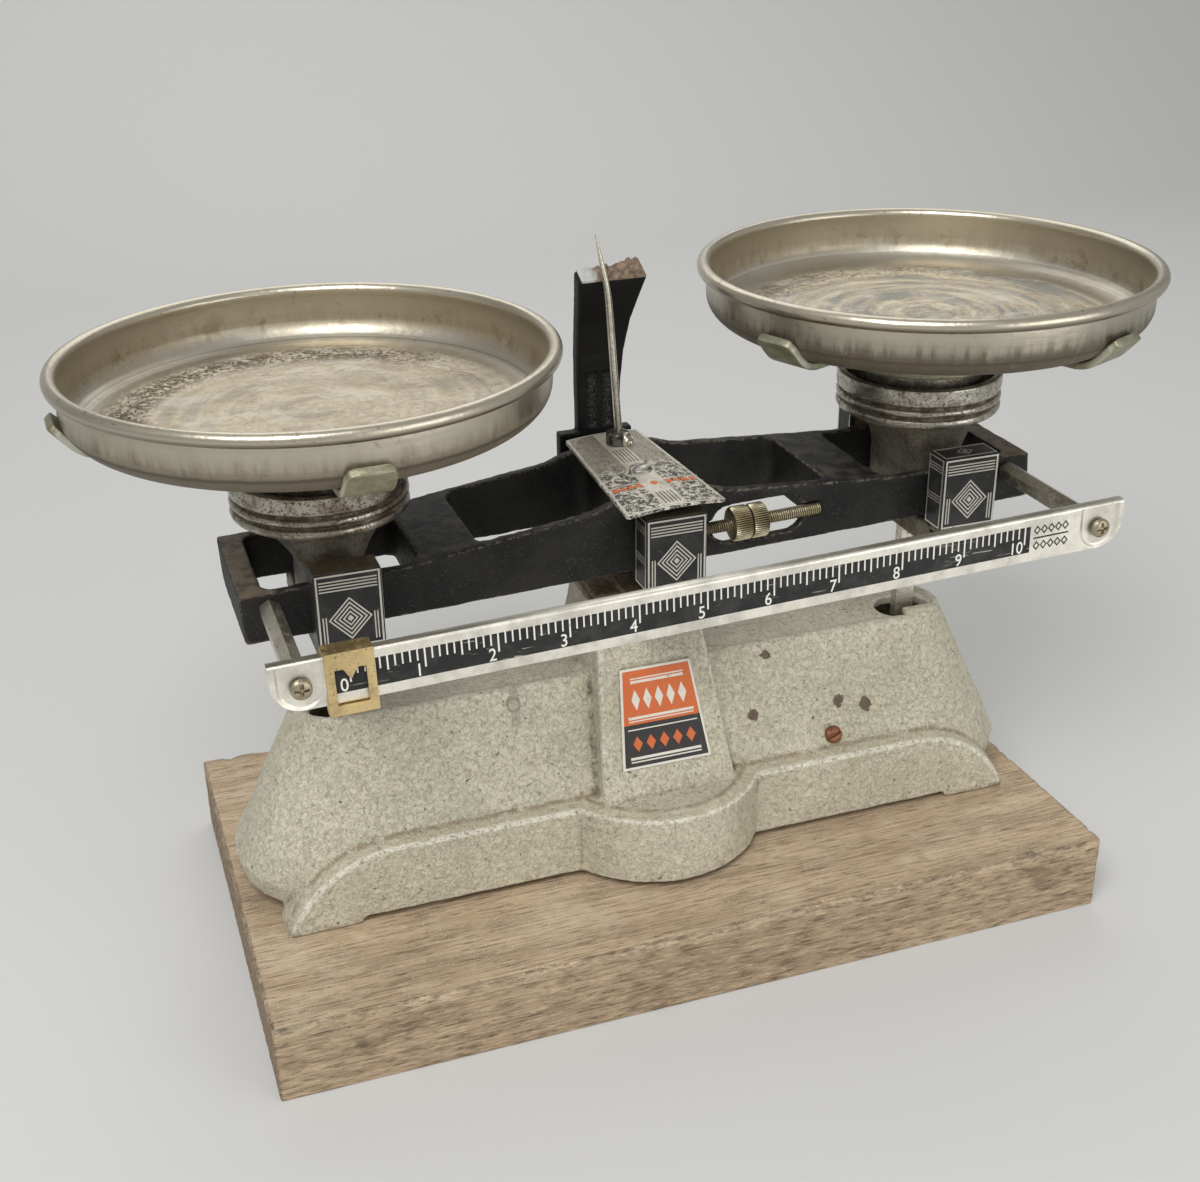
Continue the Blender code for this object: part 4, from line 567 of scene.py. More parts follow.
def pittedHead(name, spoiled):
    # chrome with fine rust specks on the head; the neck below is bare and brown
    look = Look(name, (0.5, 0.48, 0.44), 0.35, 1.0)
    pits, grit = look.noise(0.8, 4.0, 0.72), look.noise(0.45, 2.0, 0.6)
    grime, dull = look.noise(6, 5.0, 0.68), look.noise(3.2, 5.0, 0.7)
    low, groove = look.attribute("low"), look.attribute("groove")
    tone = look.mix(dull.step(0.38, 0.66), tuple(0.60 - 0.12 * spoiled - c for c in (0.06, 0.08, 0.13)),
                    (0.30, 0.275, 0.225))
    tone = look.mix(pits.step(0.545, 0.62) * (0.5 + 0.4 * spoiled), tone, (0.085, 0.06, 0.038))
    tone = look.mix(grime.step(0.50, 0.62) * 0.65 * spoiled, tone, (0.15, 0.10, 0.055))
    tone = look.mix(groove * (0.55 + 0.45 * dull.step(0.3, 0.6)), tone, (0.075, 0.05, 0.032))
    tone = look.mix(low * 0.85, tone, (0.205, 0.185, 0.145))
    tone = look.mix(low * grime.step(0.42, 0.62) * 0.6, tone, (0.10, 0.08, 0.056))
    tone = look.mix(low * grit.step(0.50, 0.62) * 0.6, tone, (0.05, 0.04, 0.03))
    rust = grime.step(0.62, 0.69) * low
    tone = look.mix(rust * 0.7, tone, (0.16, 0.062, 0.03))
    rough = 0.20 + low * 0.30 + dull * 0.18 + pits.step(0.5, 0.7) * 0.2 + groove * 0.2
    metal = 1.0 - low * 0.35 - groove * 0.6
    return look.set(Base_Color=tone, Roughness=rough, Metallic=metal,
                    Normal=look.bump((dull, 0.12), (1.0 - pits.step(0.56, 0.66), 0.14), (low * grime, 0.5),
                                     (low * grit, 0.12)))


def oliveStrip():
    look = Look("olive_plate", (0.28, 0.28, 0.20), 0.5, 0.75)
    pits, grime = look.noise(0.9, 4.0, 0.7), look.noise(7, 4.0, 0.65)
    lip = look.attribute("lip")
    tone = look.mix(grime.step(0.35, 0.65), (0.37, 0.365, 0.255), (0.235, 0.225, 0.15))
    tone = look.mix(pits.step(0.57, 0.68) * 0.5, tone, (0.085, 0.07, 0.045))
    tone = look.mix(lip * 0.7, tone, (0.60, 0.585, 0.48))
    rust = look.noise(4.2, 5.0, 0.7).step(0.59, 0.67)
    tone = look.mix(rust * 0.5, tone, (0.16, 0.10, 0.055))
    return look.set(Base_Color=tone, Roughness=0.38 + grime * 0.22, Metallic=0.75 - rust * 0.5,
                    Normal=look.bump((pits, 0.08), (grime, 0.15)))


def oldWood():
    look = Look("weathered_wood", (0.3, 0.2, 0.12), 0.75, 0.0)
    x, y, z = look.axes()
    swirl = look.noise(60, 2.0, 0.5, look.stretch((0.35, 1, 1)))
    rings = ((z * 260.0 + y * 105.0 + swirl * 5.5) * 3.0).sine()
    fibre = look.noise(1.1, 5.0, 0.7, look.stretch((0.03, 1, 1)))
    thread = look.noise(0.42, 3.0, 0.65, look.stretch((0.05, 1, 1)))
    pores = look.noise(0.55, 3.0, 0.6, look.stretch((0.045, 1, 1))).step(0.59, 0.68)
    patch = look.noise(34, 4.0, 0.6)
    tone = look.mix((rings * 0.5 + 0.5) * 0.55 + fibre * 0.45, (0.60, 0.455, 0.30), (0.39, 0.285, 0.18))
    tone = look.mix(fibre.step(0.50, 0.64) * 0.6, tone, (0.72, 0.565, 0.385))
    tone = look.mix(fibre.step(0.47, 0.36) * 0.6, tone, (0.245, 0.17, 0.10))
    tone = look.mix(thread.step(0.52, 0.62) * 0.6, tone, (0.21, 0.145, 0.085))
    tone = look.mix(patch.step(0.50, 0.75) * 0.45, tone, (0.66, 0.545, 0.39))
    tone = look.mix(patch.step(0.46, 0.30) * 0.45, tone, (0.26, 0.185, 0.115))
    tone = look.mix(pores * 0.65, tone, (0.11, 0.072, 0.042))
    end = abs(x).step(0.1438, 0.1448)
    arcs = (((y + 0.03) ** 2.0 + (z + 0.09) ** 2.0) ** 0.5) * 1500.0 + swirl * 5.0
    grain = arcs.sine() * 0.5 + 0.5
    dots = look.noise(0.7, 3.0, 0.7).step(0.55, 0.66)
    endTone = look.mix(grain * 0.7, (0.33, 0.245, 0.155), (0.205, 0.145, 0.09))
    endTone = look.mix(dots * 0.6, endTone, (0.07, 0.045, 0.03))
    tone = look.mix(end, tone, endTone)
    # the front face is darker and sawn, with a rough pale line along its upper edge
    front = y.step(-0.0745, -0.0758)
    side = front | end
    cloud = look.noise(22, 4.0, 0.6, look.stretch((0.3, 1, 1))).step(0.3, 0.7)
    tone = look.mix(front * (0.35 + 0.40 * cloud), tone, (0.285, 0.205, 0.125))
    saw = look.noise(1.1, 5.0, 0.72, look.stretch((0.14, 1, 0.8), (0, 0, 0), (0, 0.05, 0)))
    tone = look.mix(side * saw.step(0.52, 0.62) * 0.6, tone, (0.60, 0.455, 0.295))
    tone = look.mix(side * saw.step(0.47, 0.38) * 0.65, tone, (0.105, 0.07, 0.038))
    knot = look.noise(17, 4.0, 0.7, look.stretch((0.6, 1, 1))).step(0.56, 0.66)
    tone = look.mix(side * knot * 0.45, tone, (0.13, 0.088, 0.052))
    fuzz = (side * z.step(0.0225, 0.0264)
            * look.noise(2.4, 5.0, 0.75, look.stretch((0.5, 1, 1))).step(0.44, 0.58))
    tone = look.mix(fuzz * 0.55, tone, (0.66, 0.53, 0.37))
    rim = z.step(0.0262, 0.0273) * (abs(y - 0.006).step(0.0808, 0.0819) | abs(x).step(0.1438, 0.1449))
    tone = look.mix(rim * look.noise(5, 4.0).step(0.38, 0.6) * 0.6, tone, (0.10, 0.068, 0.042))
    # paint dust, grime and crumbs on top
    level = z.step(0.0266, 0.0273)
    tone = look.mix(look.noise(11, 5.0, 0.7).step(0.5, 0.72) * level * 0.35, tone, (0.70, 0.61, 0.47))
    crumbs = look.noise(0.75, 2.0).step(0.645, 0.675) * look.noise(20, 3.0).step(0.40, 0.6) * level
    tone = look.mix(crumbs * 0.85, tone, (0.76, 0.72, 0.62))
    dark = look.noise(3.1, 4.0, 0.7).step(0.67, 0.72)
    tone = look.mix(dark * 0.7, tone, (0.05, 0.035, 0.024))
    normal = look.bump((fibre, 0.3), (thread, 0.14), (1.0 - pores, 0.2), (rings * 1.0, 0.05),
                       (saw * side, 0.45), (look.noise(13, 3.0), 0.5), (grain * end, 0.25),
                       (crumbs, 0.15))
    return look.set(Base_Color=tone, Roughness=0.66 + fibre * 0.2 - dark * 0.1, Normal=normal)


def printInk(name, color, wornTo, amount=0.3, metallic=0.0, rough=0.4, size=2.2):
    look = Look(name, color, rough, metallic, Specular_IOR_Level=0.28 if sum(color) < 0.2 else 0.5)
    worn = look.noise(size, 5.0, 0.75).step(0.66 - amount * 0.3, 0.74 - amount * 0.3)
    haze = look.noise(7, 4.0).step(0.4, 0.75)
    tone = look.mix(haze * 0.35, color, tuple(0.6 * a + 0.4 * b for a, b in zip(color, wornTo)))
    tone = look.mix(worn * 0.8, tone, wornTo)
    return look.set(Base_Color=tone, Roughness=rough + haze * 0.2,
                    Normal=look.bump((look.noise(1.0, 3.0), 0.03)))


def scaleBlack():  # the black of the scale, scratched through to the steel
    look = Look("scale_black", (0.03, 0.03, 0.03), 0.42, 0.0, Specular_IOR_Level=0.3)
    first = look.noise(0.7, 2.0, 0.5, look.stretch((0.07, 1, 1), (0, 0, 0), (0, 0.5, 0))).step(0.675, 0.695)
    second = look.noise(0.6, 2.0, 0.5,
                        look.stretch((0.05, 1, 1), (3, 0, 0), (0, -0.25, 0))).step(0.69, 0.71)
    nick = look.noise(1.1, 4.0, 0.8).step(0.70, 0.72)
    bare = (first | second) * look.noise(26, 3.0).step(0.46, 0.62) | nick
    tone = look.mix(look.noise(5, 4.0).step(0.4, 0.7), (0.016, 0.016, 0.016), (0.036, 0.035, 0.033))
    tone = look.mix(bare * 0.8, tone, (0.56, 0.53, 0.46))
    return look.set(Base_Color=tone, Roughness=0.38 + look.noise(3) * 0.2, Metallic=bare * 0.6,
                    Normal=look.bump((1.0 - bare, 0.05)))


def ridgedBrass():  # a painted highlight on a thread's or a knurl's ridges, and painted shade between them
    look = Look("ridged_brass", (0.45, 0.38, 0.24), 0.35, 1.0)
    ridge, fine = look.attribute("ridge"), look.noise(1.4, 4.0, 0.7)
    tone = look.mix(ridge.step(0.1, 0.85), (0.075, 0.058, 0.034), (0.62, 0.555, 0.39))
    tone = look.mix(look.noise(5, 4.0, 0.65).step(0.42, 0.68) * 0.5, tone, (0.27, 0.215, 0.12))
    tone = look.mix(fine.step(0.6, 0.7) * 0.5, tone, (0.09, 0.065, 0.035))
    return look.set(Base_Color=tone, Roughness=0.30 + fine * 0.25, Normal=look.bump((fine, 0.05)))


looks = {
    "paint": hammeredPaint(),
    "beam": wrinkleBlack("beam_black", 1.0, 0.65),
    # the arm's black is the beam's black at 0.45 of its tones: painted shade
    "arm": wrinkleBlack("arm_black", 0.2, 0.4, 0.45),
    "leftPan": panMetal("left_pan_metal", -0.10395, 1.3, 1.0),
    "rightPan": panMetal("right_pan_metal", 0.10395, 4.1, 0.25),
    "steel": brightMetal("plain_steel", (0.56, 0.54, 0.50), 0.34, 0.5, 0.0, 0.5),
    "strip": brightMetal("strip_steel", (0.93, 0.895, 0.79), 0.40, 0.12, 0.02, 0.10),
    "rod": brightMetal("pitted_rod", (0.72, 0.68, 0.575), 0.40, 0.7, 0.0, 0.8),
    "oliveScrew": brightMetal("browned_screw", (0.47, 0.41, 0.29), 0.38, 0.7, 0.0, 0.7),
    "chrome": brightMetal("hub_chrome", (0.80, 0.76, 0.66), 0.22, 0.2, 0.0, 0.15),
    "needle": brightMetal("needle_steel", (0.66, 0.62, 0.52), 0.28, 0.5, 0.0, 0.5),
    "rustyScrew": brightMetal("rusty_screw", (0.36, 0.17, 0.095), 0.6, 0.8, 0.0, 0.9, (0.09, 0.04, 0.02)),
    "brass": brightMetal("old_brass", (0.76, 0.585, 0.30), 0.42, 0.8, 0.0, 0.8, (0.17, 0.11, 0.045)),
    "nut": ridgedBrass(),
    "leftHead": pittedHead("left_pedestal_metal", 1.0),
    "rightHead": pittedHead("right_pedestal_metal", 0.35),
    "olive": oliveStrip(),
    "wood": oldWood(),
    "capBlack": printInk("cap_black", (0.018, 0.018, 0.018), (0.16, 0.15, 0.13), 0.15, 0.0, 0.36),
    "capLine": printInk("cap_line", (0.62, 0.60, 0.54), (0.2, 0.19, 0.16), 0.25, 0.7, 0.34),
    "capTop": brightMetal("cap_bare_top", (0.25, 0.205, 0.145), 0.5, 0.8, 0.0, 0.7),
    "scaleBlack": scaleBlack(),
    "scaleLine": printInk("scale_line", (0.78, 0.76, 0.69), (0.25, 0.24, 0.22), 0.12, 0.0, 0.4, 1.2),
    "cream": printInk("label_cream", (0.74, 0.71, 0.62), (0.4, 0.37, 0.3), 0.2, 0.0, 0.5),
    "orange": printInk("label_orange", (0.62, 0.125, 0.022), (0.50, 0.26, 0.12), 0.25, 0.0, 0.45),
    "labelBlack": printInk("label_black", (0.035, 0.033, 0.032), (0.12, 0.11, 0.1), 0.2, 0.0, 0.45),
    "agate": printInk("agate_block", (0.28, 0.19, 0.13), (0.45, 0.36, 0.28), 0.3, 0.0, 0.2),
}
print("looks made", len(looks))


base = dict(grid=0.9, rounds=1, towerDraft=0.39, slope=0.47, top=92.0, middle=4.0, hollowHalf=12.2)
plinth = dict(half=38.0, top=26.7, rise=0.25, archFrom=93.8, bossRadius=38.6, bossY=-12.4, bossRise=0.2)


def insideShell(points):  # inside the base's shell, away from the tower: nothing there is seen
    spread = (base["top"] - np.clip(points[:, 2], 40.5, base["top"])) * base["slope"]
    return (np.abs(points[:, 1] - base["middle"]) < base["hollowHalf"]
            + spread) & (np.abs(points[:, 0]) > 27) & (points[:, 2] < 89.0)


def onLedge(points):
    # how far each point lies in from the plinth's or the boss's front edge, where it is on their ledge:
    # the first value marks a band behind that edge, the second a narrow line behind the band
    s = plinth
    x, y, z = np.abs(points[:, 0]), points[:, 1], points[:, 2] - boardTop
    radius = (s["half"] ** 2 + s["top"] ** 2) / (2 * s["top"])
    over = np.clip(x - s["archFrom"], 0, s["half"])
    top = s["top"] - radius + np.sqrt(radius ** 2 - over ** 2)
    into = s["half"] - np.abs(y - base["middle"])
    near = lambda d: np.clip(2.2 - np.abs(d) / 0.9, 0, 1)
    level = near(z - top - s["rise"] * into)
    across = s["bossRadius"] - np.hypot(x, y - s["bossY"])
    raised = near(z - s["top"] - s["bossRise"] * across) * (y < -24)
    band = lambda d: np.clip(d / 0.6, 0, 1) * np.clip((4.6 - d) / 0.8, 0, 1)
    line = lambda d: np.clip(1.6 - np.abs(d - 5.4) / 0.7, 0, 1)
    return np.maximum(level * band(into), raised * band(across)), np.maximum(level * line(into),
            raised * line(across))


def makeBase():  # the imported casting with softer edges, its ledge marked, and the lug at a stem hole
    mesh, points, normals = castMesh("base_casting", base["grid"], base["rounds"], 10, insideShell, 0.6)
    # a cast skin is never quite even: it moves along its normals by a tenth or two
    move = 0.09 * ripple(points, 16, 3) + 0.05 * ripple(points, 5, 4)
    points = points + normals * move[:, None]
    movePoints(mesh, points)
    print("base triangles", sum(len(face.vertices) - 2 for face in mesh.polygons))
    settles("base_body", mesh, looks["paint"], "base", ("base_casting",), 60,
            dict(zip(("ledge", "seam"), onLedge(points))))
    lug = slab((100.5, -9.6, 63.9), (112.0, -6.4, 66.2), 0.4)
    puts("stem_hole_lug", lug, looks["paint"], "base", onBoard)
    dress("check_pivot_pin", looks["steel"])


def facePlace(z):  # a matrix on the tower's sloping front: x right, y up the slope, z outwards
    y = -10.8 - (88 - z) * base["towerDraft"]
    lean = Matrix.Rotation(math.radians(90) - math.atan(base["towerDraft"]), 4, "X")
    return onBoard @ Matrix.Translation((0, y * mm, z * mm)) @ lean


strip = dict(half=134.2, low=-4.0, top=10.9, sheet=1.2, front=-77.3, corner=9, screw=125.8, screwHeight=2.9,
             seat=7.2, seatEdge=1.6, seatDepth=0.75)
label = dict(z=52.3, bottom=16.0, top=12.6, height=17.0, border=0.85, split=-2.0)


def trapezoid(low, high, inward):  # the label's outline between two heights on its face
    a, b = label["bottom"], label["top"]
    width = lambda v: a + (b - a) * (v + label["height"]) / (2 * label["height"]) - inward
    return np.array([(-width(low), low), (width(low), low), (width(high), high), (-width(high), high)])


def rule(cx, cy, width, height, low=0.30, high=0.36):  # a plain printed bar
    return plateSkin(np.array([(cx - width / 2, cy - height / 2), (cx + width / 2, cy - height / 2),
                               (cx + width / 2, cy + height / 2), (cx - width / 2,
                                       cy + height / 2)]), low, high, 0.01, 2)


def makeLabel():  # a card on the tower with two fields, rules and lozenges
    place = facePlace(label["z"])
    h, b = label["height"], label["border"]
    puts("label_card", plateSkin(trapezoid(-h, h, 0.0), -0.55, 0.10, 0.05, 2), looks["cream"], "base",
         place)
    puts("label_upper", plateSkin(trapezoid(label["split"], h - b, b), 0.05, 0.16, 0.02, 2),
         looks["orange"], "base", place)
    puts("label_lower", plateSkin(trapezoid(b - h, label["split"], b), 0.05, 0.16, 0.02, 2),
         looks["labelBlack"], "base", place)
    # rules along both fields, and a row of lozenges in each
    cream = [rule(0, 13.4, 19.0, 0.45, 0.1, 0.19), rule(0, 12.3, 19.0, 0.9, 0.1, 0.19),
             rule(0, 0.2, 23.5, 0.9, 0.1, 0.19), rule(0, -0.9, 23.5, 0.4, 0.1, 0.19),
             rule(0, -14.6, 25.5, 0.45, 0.1, 0.19), rule(0, -13.4, 25.5, 0.9, 0.1, 0.19),
             rule(0, -3.7, 25.0, 0.4, 0.1, 0.19)]
    for k in range(5):
        cream.append(plateSkin(arcLine(-8.4 + 4.2 * k, 6.2, 1.5, 3.6, 0, 360, 5)[:4], 0.1, 0.19, 0.01, 2))
    puts("label_marks", cream, looks["cream"], "base", place)
    orange = [plateSkin(arcLine(-9.6 + 4.8 * k, -8.6, 1.7, 2.6, 0, 360, 5)[:4], 0.1, 0.19, 0.01, 2)
              for k in range(5)]
    puts("label_lozenges", orange, looks["orange"], "base", place)


def makeBoard():
    # rings round the four sides and, inwards, over the top; the outline's own normals lead the chips
    box = np.array(frame["nodes"]["wooden_board"].bound_box) / mm
    (x0, y0, z0), (x1, y1, z1) = box.min(0), box.max(0)
    outline = dense(roundRect((x1 - x0) / 2, (y1 - y0) / 2, 0.9, 4, (x0 + x1) / 2, (y0 + y1) / 2), 1.1)
    sides = [(0.5, z0), (0.1, z0 + 0.25)] + [(0.0, h) for h in np.linspace(z0 + 1.2, z1 - 1.0, 22)]
    top = ([(0.0, z1 - 0.45), (0.12, z1 - 0.15), (0.4, z1)]
           + [(d, z1) for d in (1.2, 2.2, 3.4, 5, 8, 13, 20, 30, 45, 60, 75)])
    half, middle = np.array([x1 - x0, y1 - y0]) / 2, np.array([x0 + x1, y0 + y1]) / 2
    drawn = lambda d: middle + (outline - middle) * (1 - d / half)
    rings = np.stack([np.column_stack([drawn(d), np.full(len(outline), h)]) for d, h in sides + top])
    out = rings[2] - np.column_stack([inset(outline, 1.0), rings[2][:, 2]])
    points = rings.reshape(-1, 3)
    near = (np.clip(1 - np.abs(points[:, 2] - z1) / 3.5, 0, 1)
            * np.repeat([d < 1.5 for d, h in sides + top], len(outline)))
    chip = np.clip(ripple(points * np.array([0.5, 1, 1]), 5.5, 23) - 0.35, 0, 1.2) * near * 0.75
    chip += np.clip(ripple(points * np.array([0.4, 1, 1]), 2.2, 24), 0, 2) * near * 0.14
    rough = 0.10 * ripple(points * np.array([0.15, 1, 1]), 4, 21)
    rings = (points + (np.tile(out, (len(sides + top), 1)) * (np.minimum(rough, 0.1) - chip)[:, None])
             * (points[:, 2] > 0.5)[:, None]).reshape(rings.shape)
    rings[..., 2] -= (chip * 0.6).reshape(rings.shape[:2])
    puts("board_wood", skin(rings), looks["wood"], "base", None, ("wooden_board",), 50)


def domedHead(radius, height, cut, depth, cross=False, turn=0.0, n=61):
    # a square grid drawn out to a disc: a dome, lowered along one slot or two crossed ones
    u, v = np.meshgrid(np.linspace(-1, 1, n), np.linspace(-1, 1, n), indexing="ij")
    x, y = u * np.sqrt(1 - v * v / 2), v * np.sqrt(1 - u * u / 2)
    r = np.sqrt(x * x + y * y)
    z = height * np.sqrt(np.clip(1 - (r * 0.94) ** 2.6, 0, 1))
    c, s = math.cos(turn), math.sin(turn)
    a, b = np.abs(c * x + s * y) * radius, np.abs(c * y - s * x) * radius
    reach = radius * (0.62 if cross else 1.2)
    fall = lambda d, w: 1 / (1 + np.exp((d - w) / 0.05))
    hole = fall(b, cut / 2) * fall(a, reach)
    if cross:
        hole = np.maximum(hole, fall(a, cut / 2) * fall(b, reach))
    z = np.maximum(z - hole * depth, 0.0)
    low = np.where((np.abs(u) == 1) | (np.abs(v) == 1), 0.0, -0.1)
    z = np.where((np.abs(u) == 1) | (np.abs(v) == 1), 0.0, z)
    top = np.stack([x * radius, y * radius, z], -1).reshape(-1, 3)
    under = np.stack([x * radius, y * radius, low], -1).reshape(-1, 3)
    return closedSheet(top, under, n)


def screwPlace(seat, outward):  # a matrix with +Z out of the surface, for a head that seats there
    return Matrix.Translation(Vector(seat) * mm) @ Vector(outward).to_track_quat("Z",
            "Y").to_matrix().to_4x4()


def makeScrews():  # a domed head on a short shank for each screw
    y = base["middle"] - 14.5 - (64.5 - 31.5) * base["slope"]
    out = Vector((0, -1, base["slope"])).normalized()
    place = onBoard @ screwPlace((64.7, y + out.y * 0.3, 31.5 + out.z * 0.3), out)
    shank = [spun([(1.45, 0.0), (1.45, -2.2)], 32)]
    puts("side_screw_head", [domedHead(3.15, 1.9, 0.8, 1.1, turn=0.35)] + shank, looks["rustyScrew"],
         "base", place, ("side_screw",))
    for word, x in (("left", -4.6), ("right", 4.6)):
        place = onBoard @ screwPlace((x, 42.5, 91.5), (0, 1, 0))
        shank = [spun([(1.45, 0.0), (1.45, -9.4)], 32)]
        puts(word + "_arm_screw_head", [domedHead(3.0, 2.0, 0.8, 1.1, turn=x)] + shank, looks["steel"],
             "base", place, (word + "_arm_screw",))
    for word, x in (("left", -strip["screw"]), ("right", strip["screw"])):
        place = onBeam @ screwPlace((x, -77.6, strip["screwHeight"]), (0, -1, 0))
        shank = [spun([(1.25, 0.3), (1.25, -5.9)], 32)]
        puts(word + "_strip_screw_head", [domedHead(3.1, 1.7, 0.75, 1.0, True, 0.4 * x)] + shank,
             looks["oliveScrew"], "beam", place, (word + "_strip_screw",))
    place = onBeam @ screwPlace((0, -7, 18.8), (0, 0, 1))
    puts("plate_screw_head", [domedHead(3.8, 1.8, 0.8, 1.0, turn=0.4),
                              spun([(1.75, 0.2), (1.75, -8.8)], 32)], looks["steel"], "beam", place,
         ("plate_screw",))
    place = onBeam @ screwPlace((3.75, 15.45, 20.9), (0.55, -0.835, 0.12))
    puts("hub_screw_head", [domedHead(2.5, 1.6, 0.62, 0.9, True, 0.5), spun([(1.2, 0.2), (1.2, -1.4)], 24)],
         looks["chrome"], "beam", place, ("pointer_screw",))


makeBase()
makeLabel()
makeBoard()
makeScrews()
print("base, board and screws made")


def crust():  # brown dirt and old glue
    look = Look("brown_crust", (0.2, 0.13, 0.08), 0.85, 0.0)
    lump = look.noise(1.6, 5.0, 0.75)
    tone = look.mix(lump.step(0.35, 0.65), (0.10, 0.065, 0.042), (0.30, 0.225, 0.155))
    tone = look.mix(look.noise(0.8, 4.0, 0.7).step(0.58, 0.66), tone, (0.05, 0.035, 0.025))
    x, _, z = look.axes()
    chipped = z.step(0.2, 0.21) * (x + (lump - 0.5) * 0.006).step(-0.0035, -0.0055)
    tone = look.mix(chipped * 0.85, tone, (0.52, 0.52, 0.50))
    return look.set(Base_Color=tone, Roughness=0.8 + lump * 0.1, Normal=look.bump((lump, 0.5)))


looks["crust"] = crust()


def makeFork():  # the fork and the arm as cast, and a heap whose height is ripples and a slope
    mesh, points, normals = castMesh("bearing_fork", 0.6, 2, 6)
    points = points + normals * (0.18 * ripple(points, 4, 31) - 0.05)[:, None]
    movePoints(mesh, points)
    settles("fork_casting", mesh, looks["crust"], "base", ("bearing_fork",), 60)
    mesh, points, normals = castMesh("index_arm", 0.5, 2, 8)
    settles("index_arm_casting", mesh, looks["arm"], "base", ("index_arm",), 60)
    # what is left of the glue on the arm's slanted top, as a rough low heap
    n = 60
    u, v = np.meshgrid(np.linspace(-1, 1, n), np.linspace(-1, 1, n), indexing="ij")
    x, y = 1.6 + u * 11.2, 25.1 + v * 2.7
    flat = np.stack([x, y, np.zeros_like(x)], -1).reshape(-1, 3)
    rise = 0.9 + 0.7 * ripple(flat, 3.2, 41) + 0.35 * ripple(flat, 1.3, 42)
    rise = np.clip(rise.reshape(n, n) + 2.6 * np.clip((x - 2) / 8, 0, 1), 0.05, 4.6)
    rise = rise * (1 - np.maximum(np.abs(u), np.abs(v)) ** 6)
    z = 189.6 + (y - 22) * 0.5 + rise
    top = np.stack([x, y, z], -1).reshape(-1, 3)
    under = np.stack([x, y, np.where(np.maximum(np.abs(u), np.abs(v)) >= 1, z, z - rise - 0.8)],
                     -1).reshape(-1, 3)
    puts("arm_glue", closedSheet(top, under, n), looks["crust"], "base", onBoard,
         bend=70)


cap = dict(half=10.2, front=37.2, endTop=16.1, endLow=-8.9, middleTop=14.0, middleLow=-10.5)


def frameLine(hx, hy, width, cx=0.0, cy=0.0, lift=0.06):  # a closed rectangular line
    outer = np.array([(-hx, -hy), (hx, -hy), (hx, hy), (-hx, hy)], float) + (cx, cy)
    inner = np.array([(-hx + width, -hy + width), (hx - width, -hy + width), (hx - width, hy - width),
                      (-hx + width, hy - width)], float) + (cx, cy)
    return bandSkin(outer, inner, lift)


def bandSkin(outer, inner, lift=0.06):  # the band between two outlines, as a low closed strip
    rows = [(outer, 0.0), (outer, lift), (inner, lift), (inner, 0.0)]
    return skin(np.stack([np.column_stack([o, np.full(len(o), h)]) for o, h in rows]), True)


def lozenge(half, width, cx, cy, squash=1.0):
    shape = lambda h: np.array([(h, 0), (0, h * squash), (-h, 0), (0, -h * squash)], float) + (cx, cy)
    return bandSkin(shape(half), shape(half - width))


def capMotif(low, high):  # a border, bars at the top and nested lozenges on a stem of thin lines
    middle, half = (low + high) / 2, (high - low) / 2
    marks = [frameLine(9.7, half - 0.5, 0.55, 0, middle)]
    for k in range(4):
        marks.append(rule(0, high - 2.6 - 1.0 * k, 17.4, 0.42, 0.0, 0.06))
    for half in (6.6, 5.2, 3.8, 2.4):
        marks.append(lozenge(half, 0.62, 0, middle - 2.6, 1.05))
    marks.append(plateSkin(np.array([(1.0, 0), (0, 1.1), (-1.0, 0), (0, -1.1)]) + (0, middle - 2.6), 0.0,
                           0.06, 0.01, 2))
    for x in (-8.2, -7.3, 7.3, 8.2):
        marks.append(rule(x, middle - 5.9, 0.4, 9.0, 0.0, 0.06))
    return marks


def sideMotif(low, high):  # the cap's side: a border and two groups of short bars
    middle, half = (low + high) / 2, (high - low) / 2
    marks = [frameLine(4.4, half - 0.5, 0.5, 0, middle)]
    for k in range(3):
        marks.append(rule(0, high - 3.0 - 1.0 * k, 7.4, 0.4, 0.0, 0.06))
        marks.append(rule(0, middle - 1.0 - 1.0 * k, 7.4, 0.4, 0.0, 0.06))
    return marks


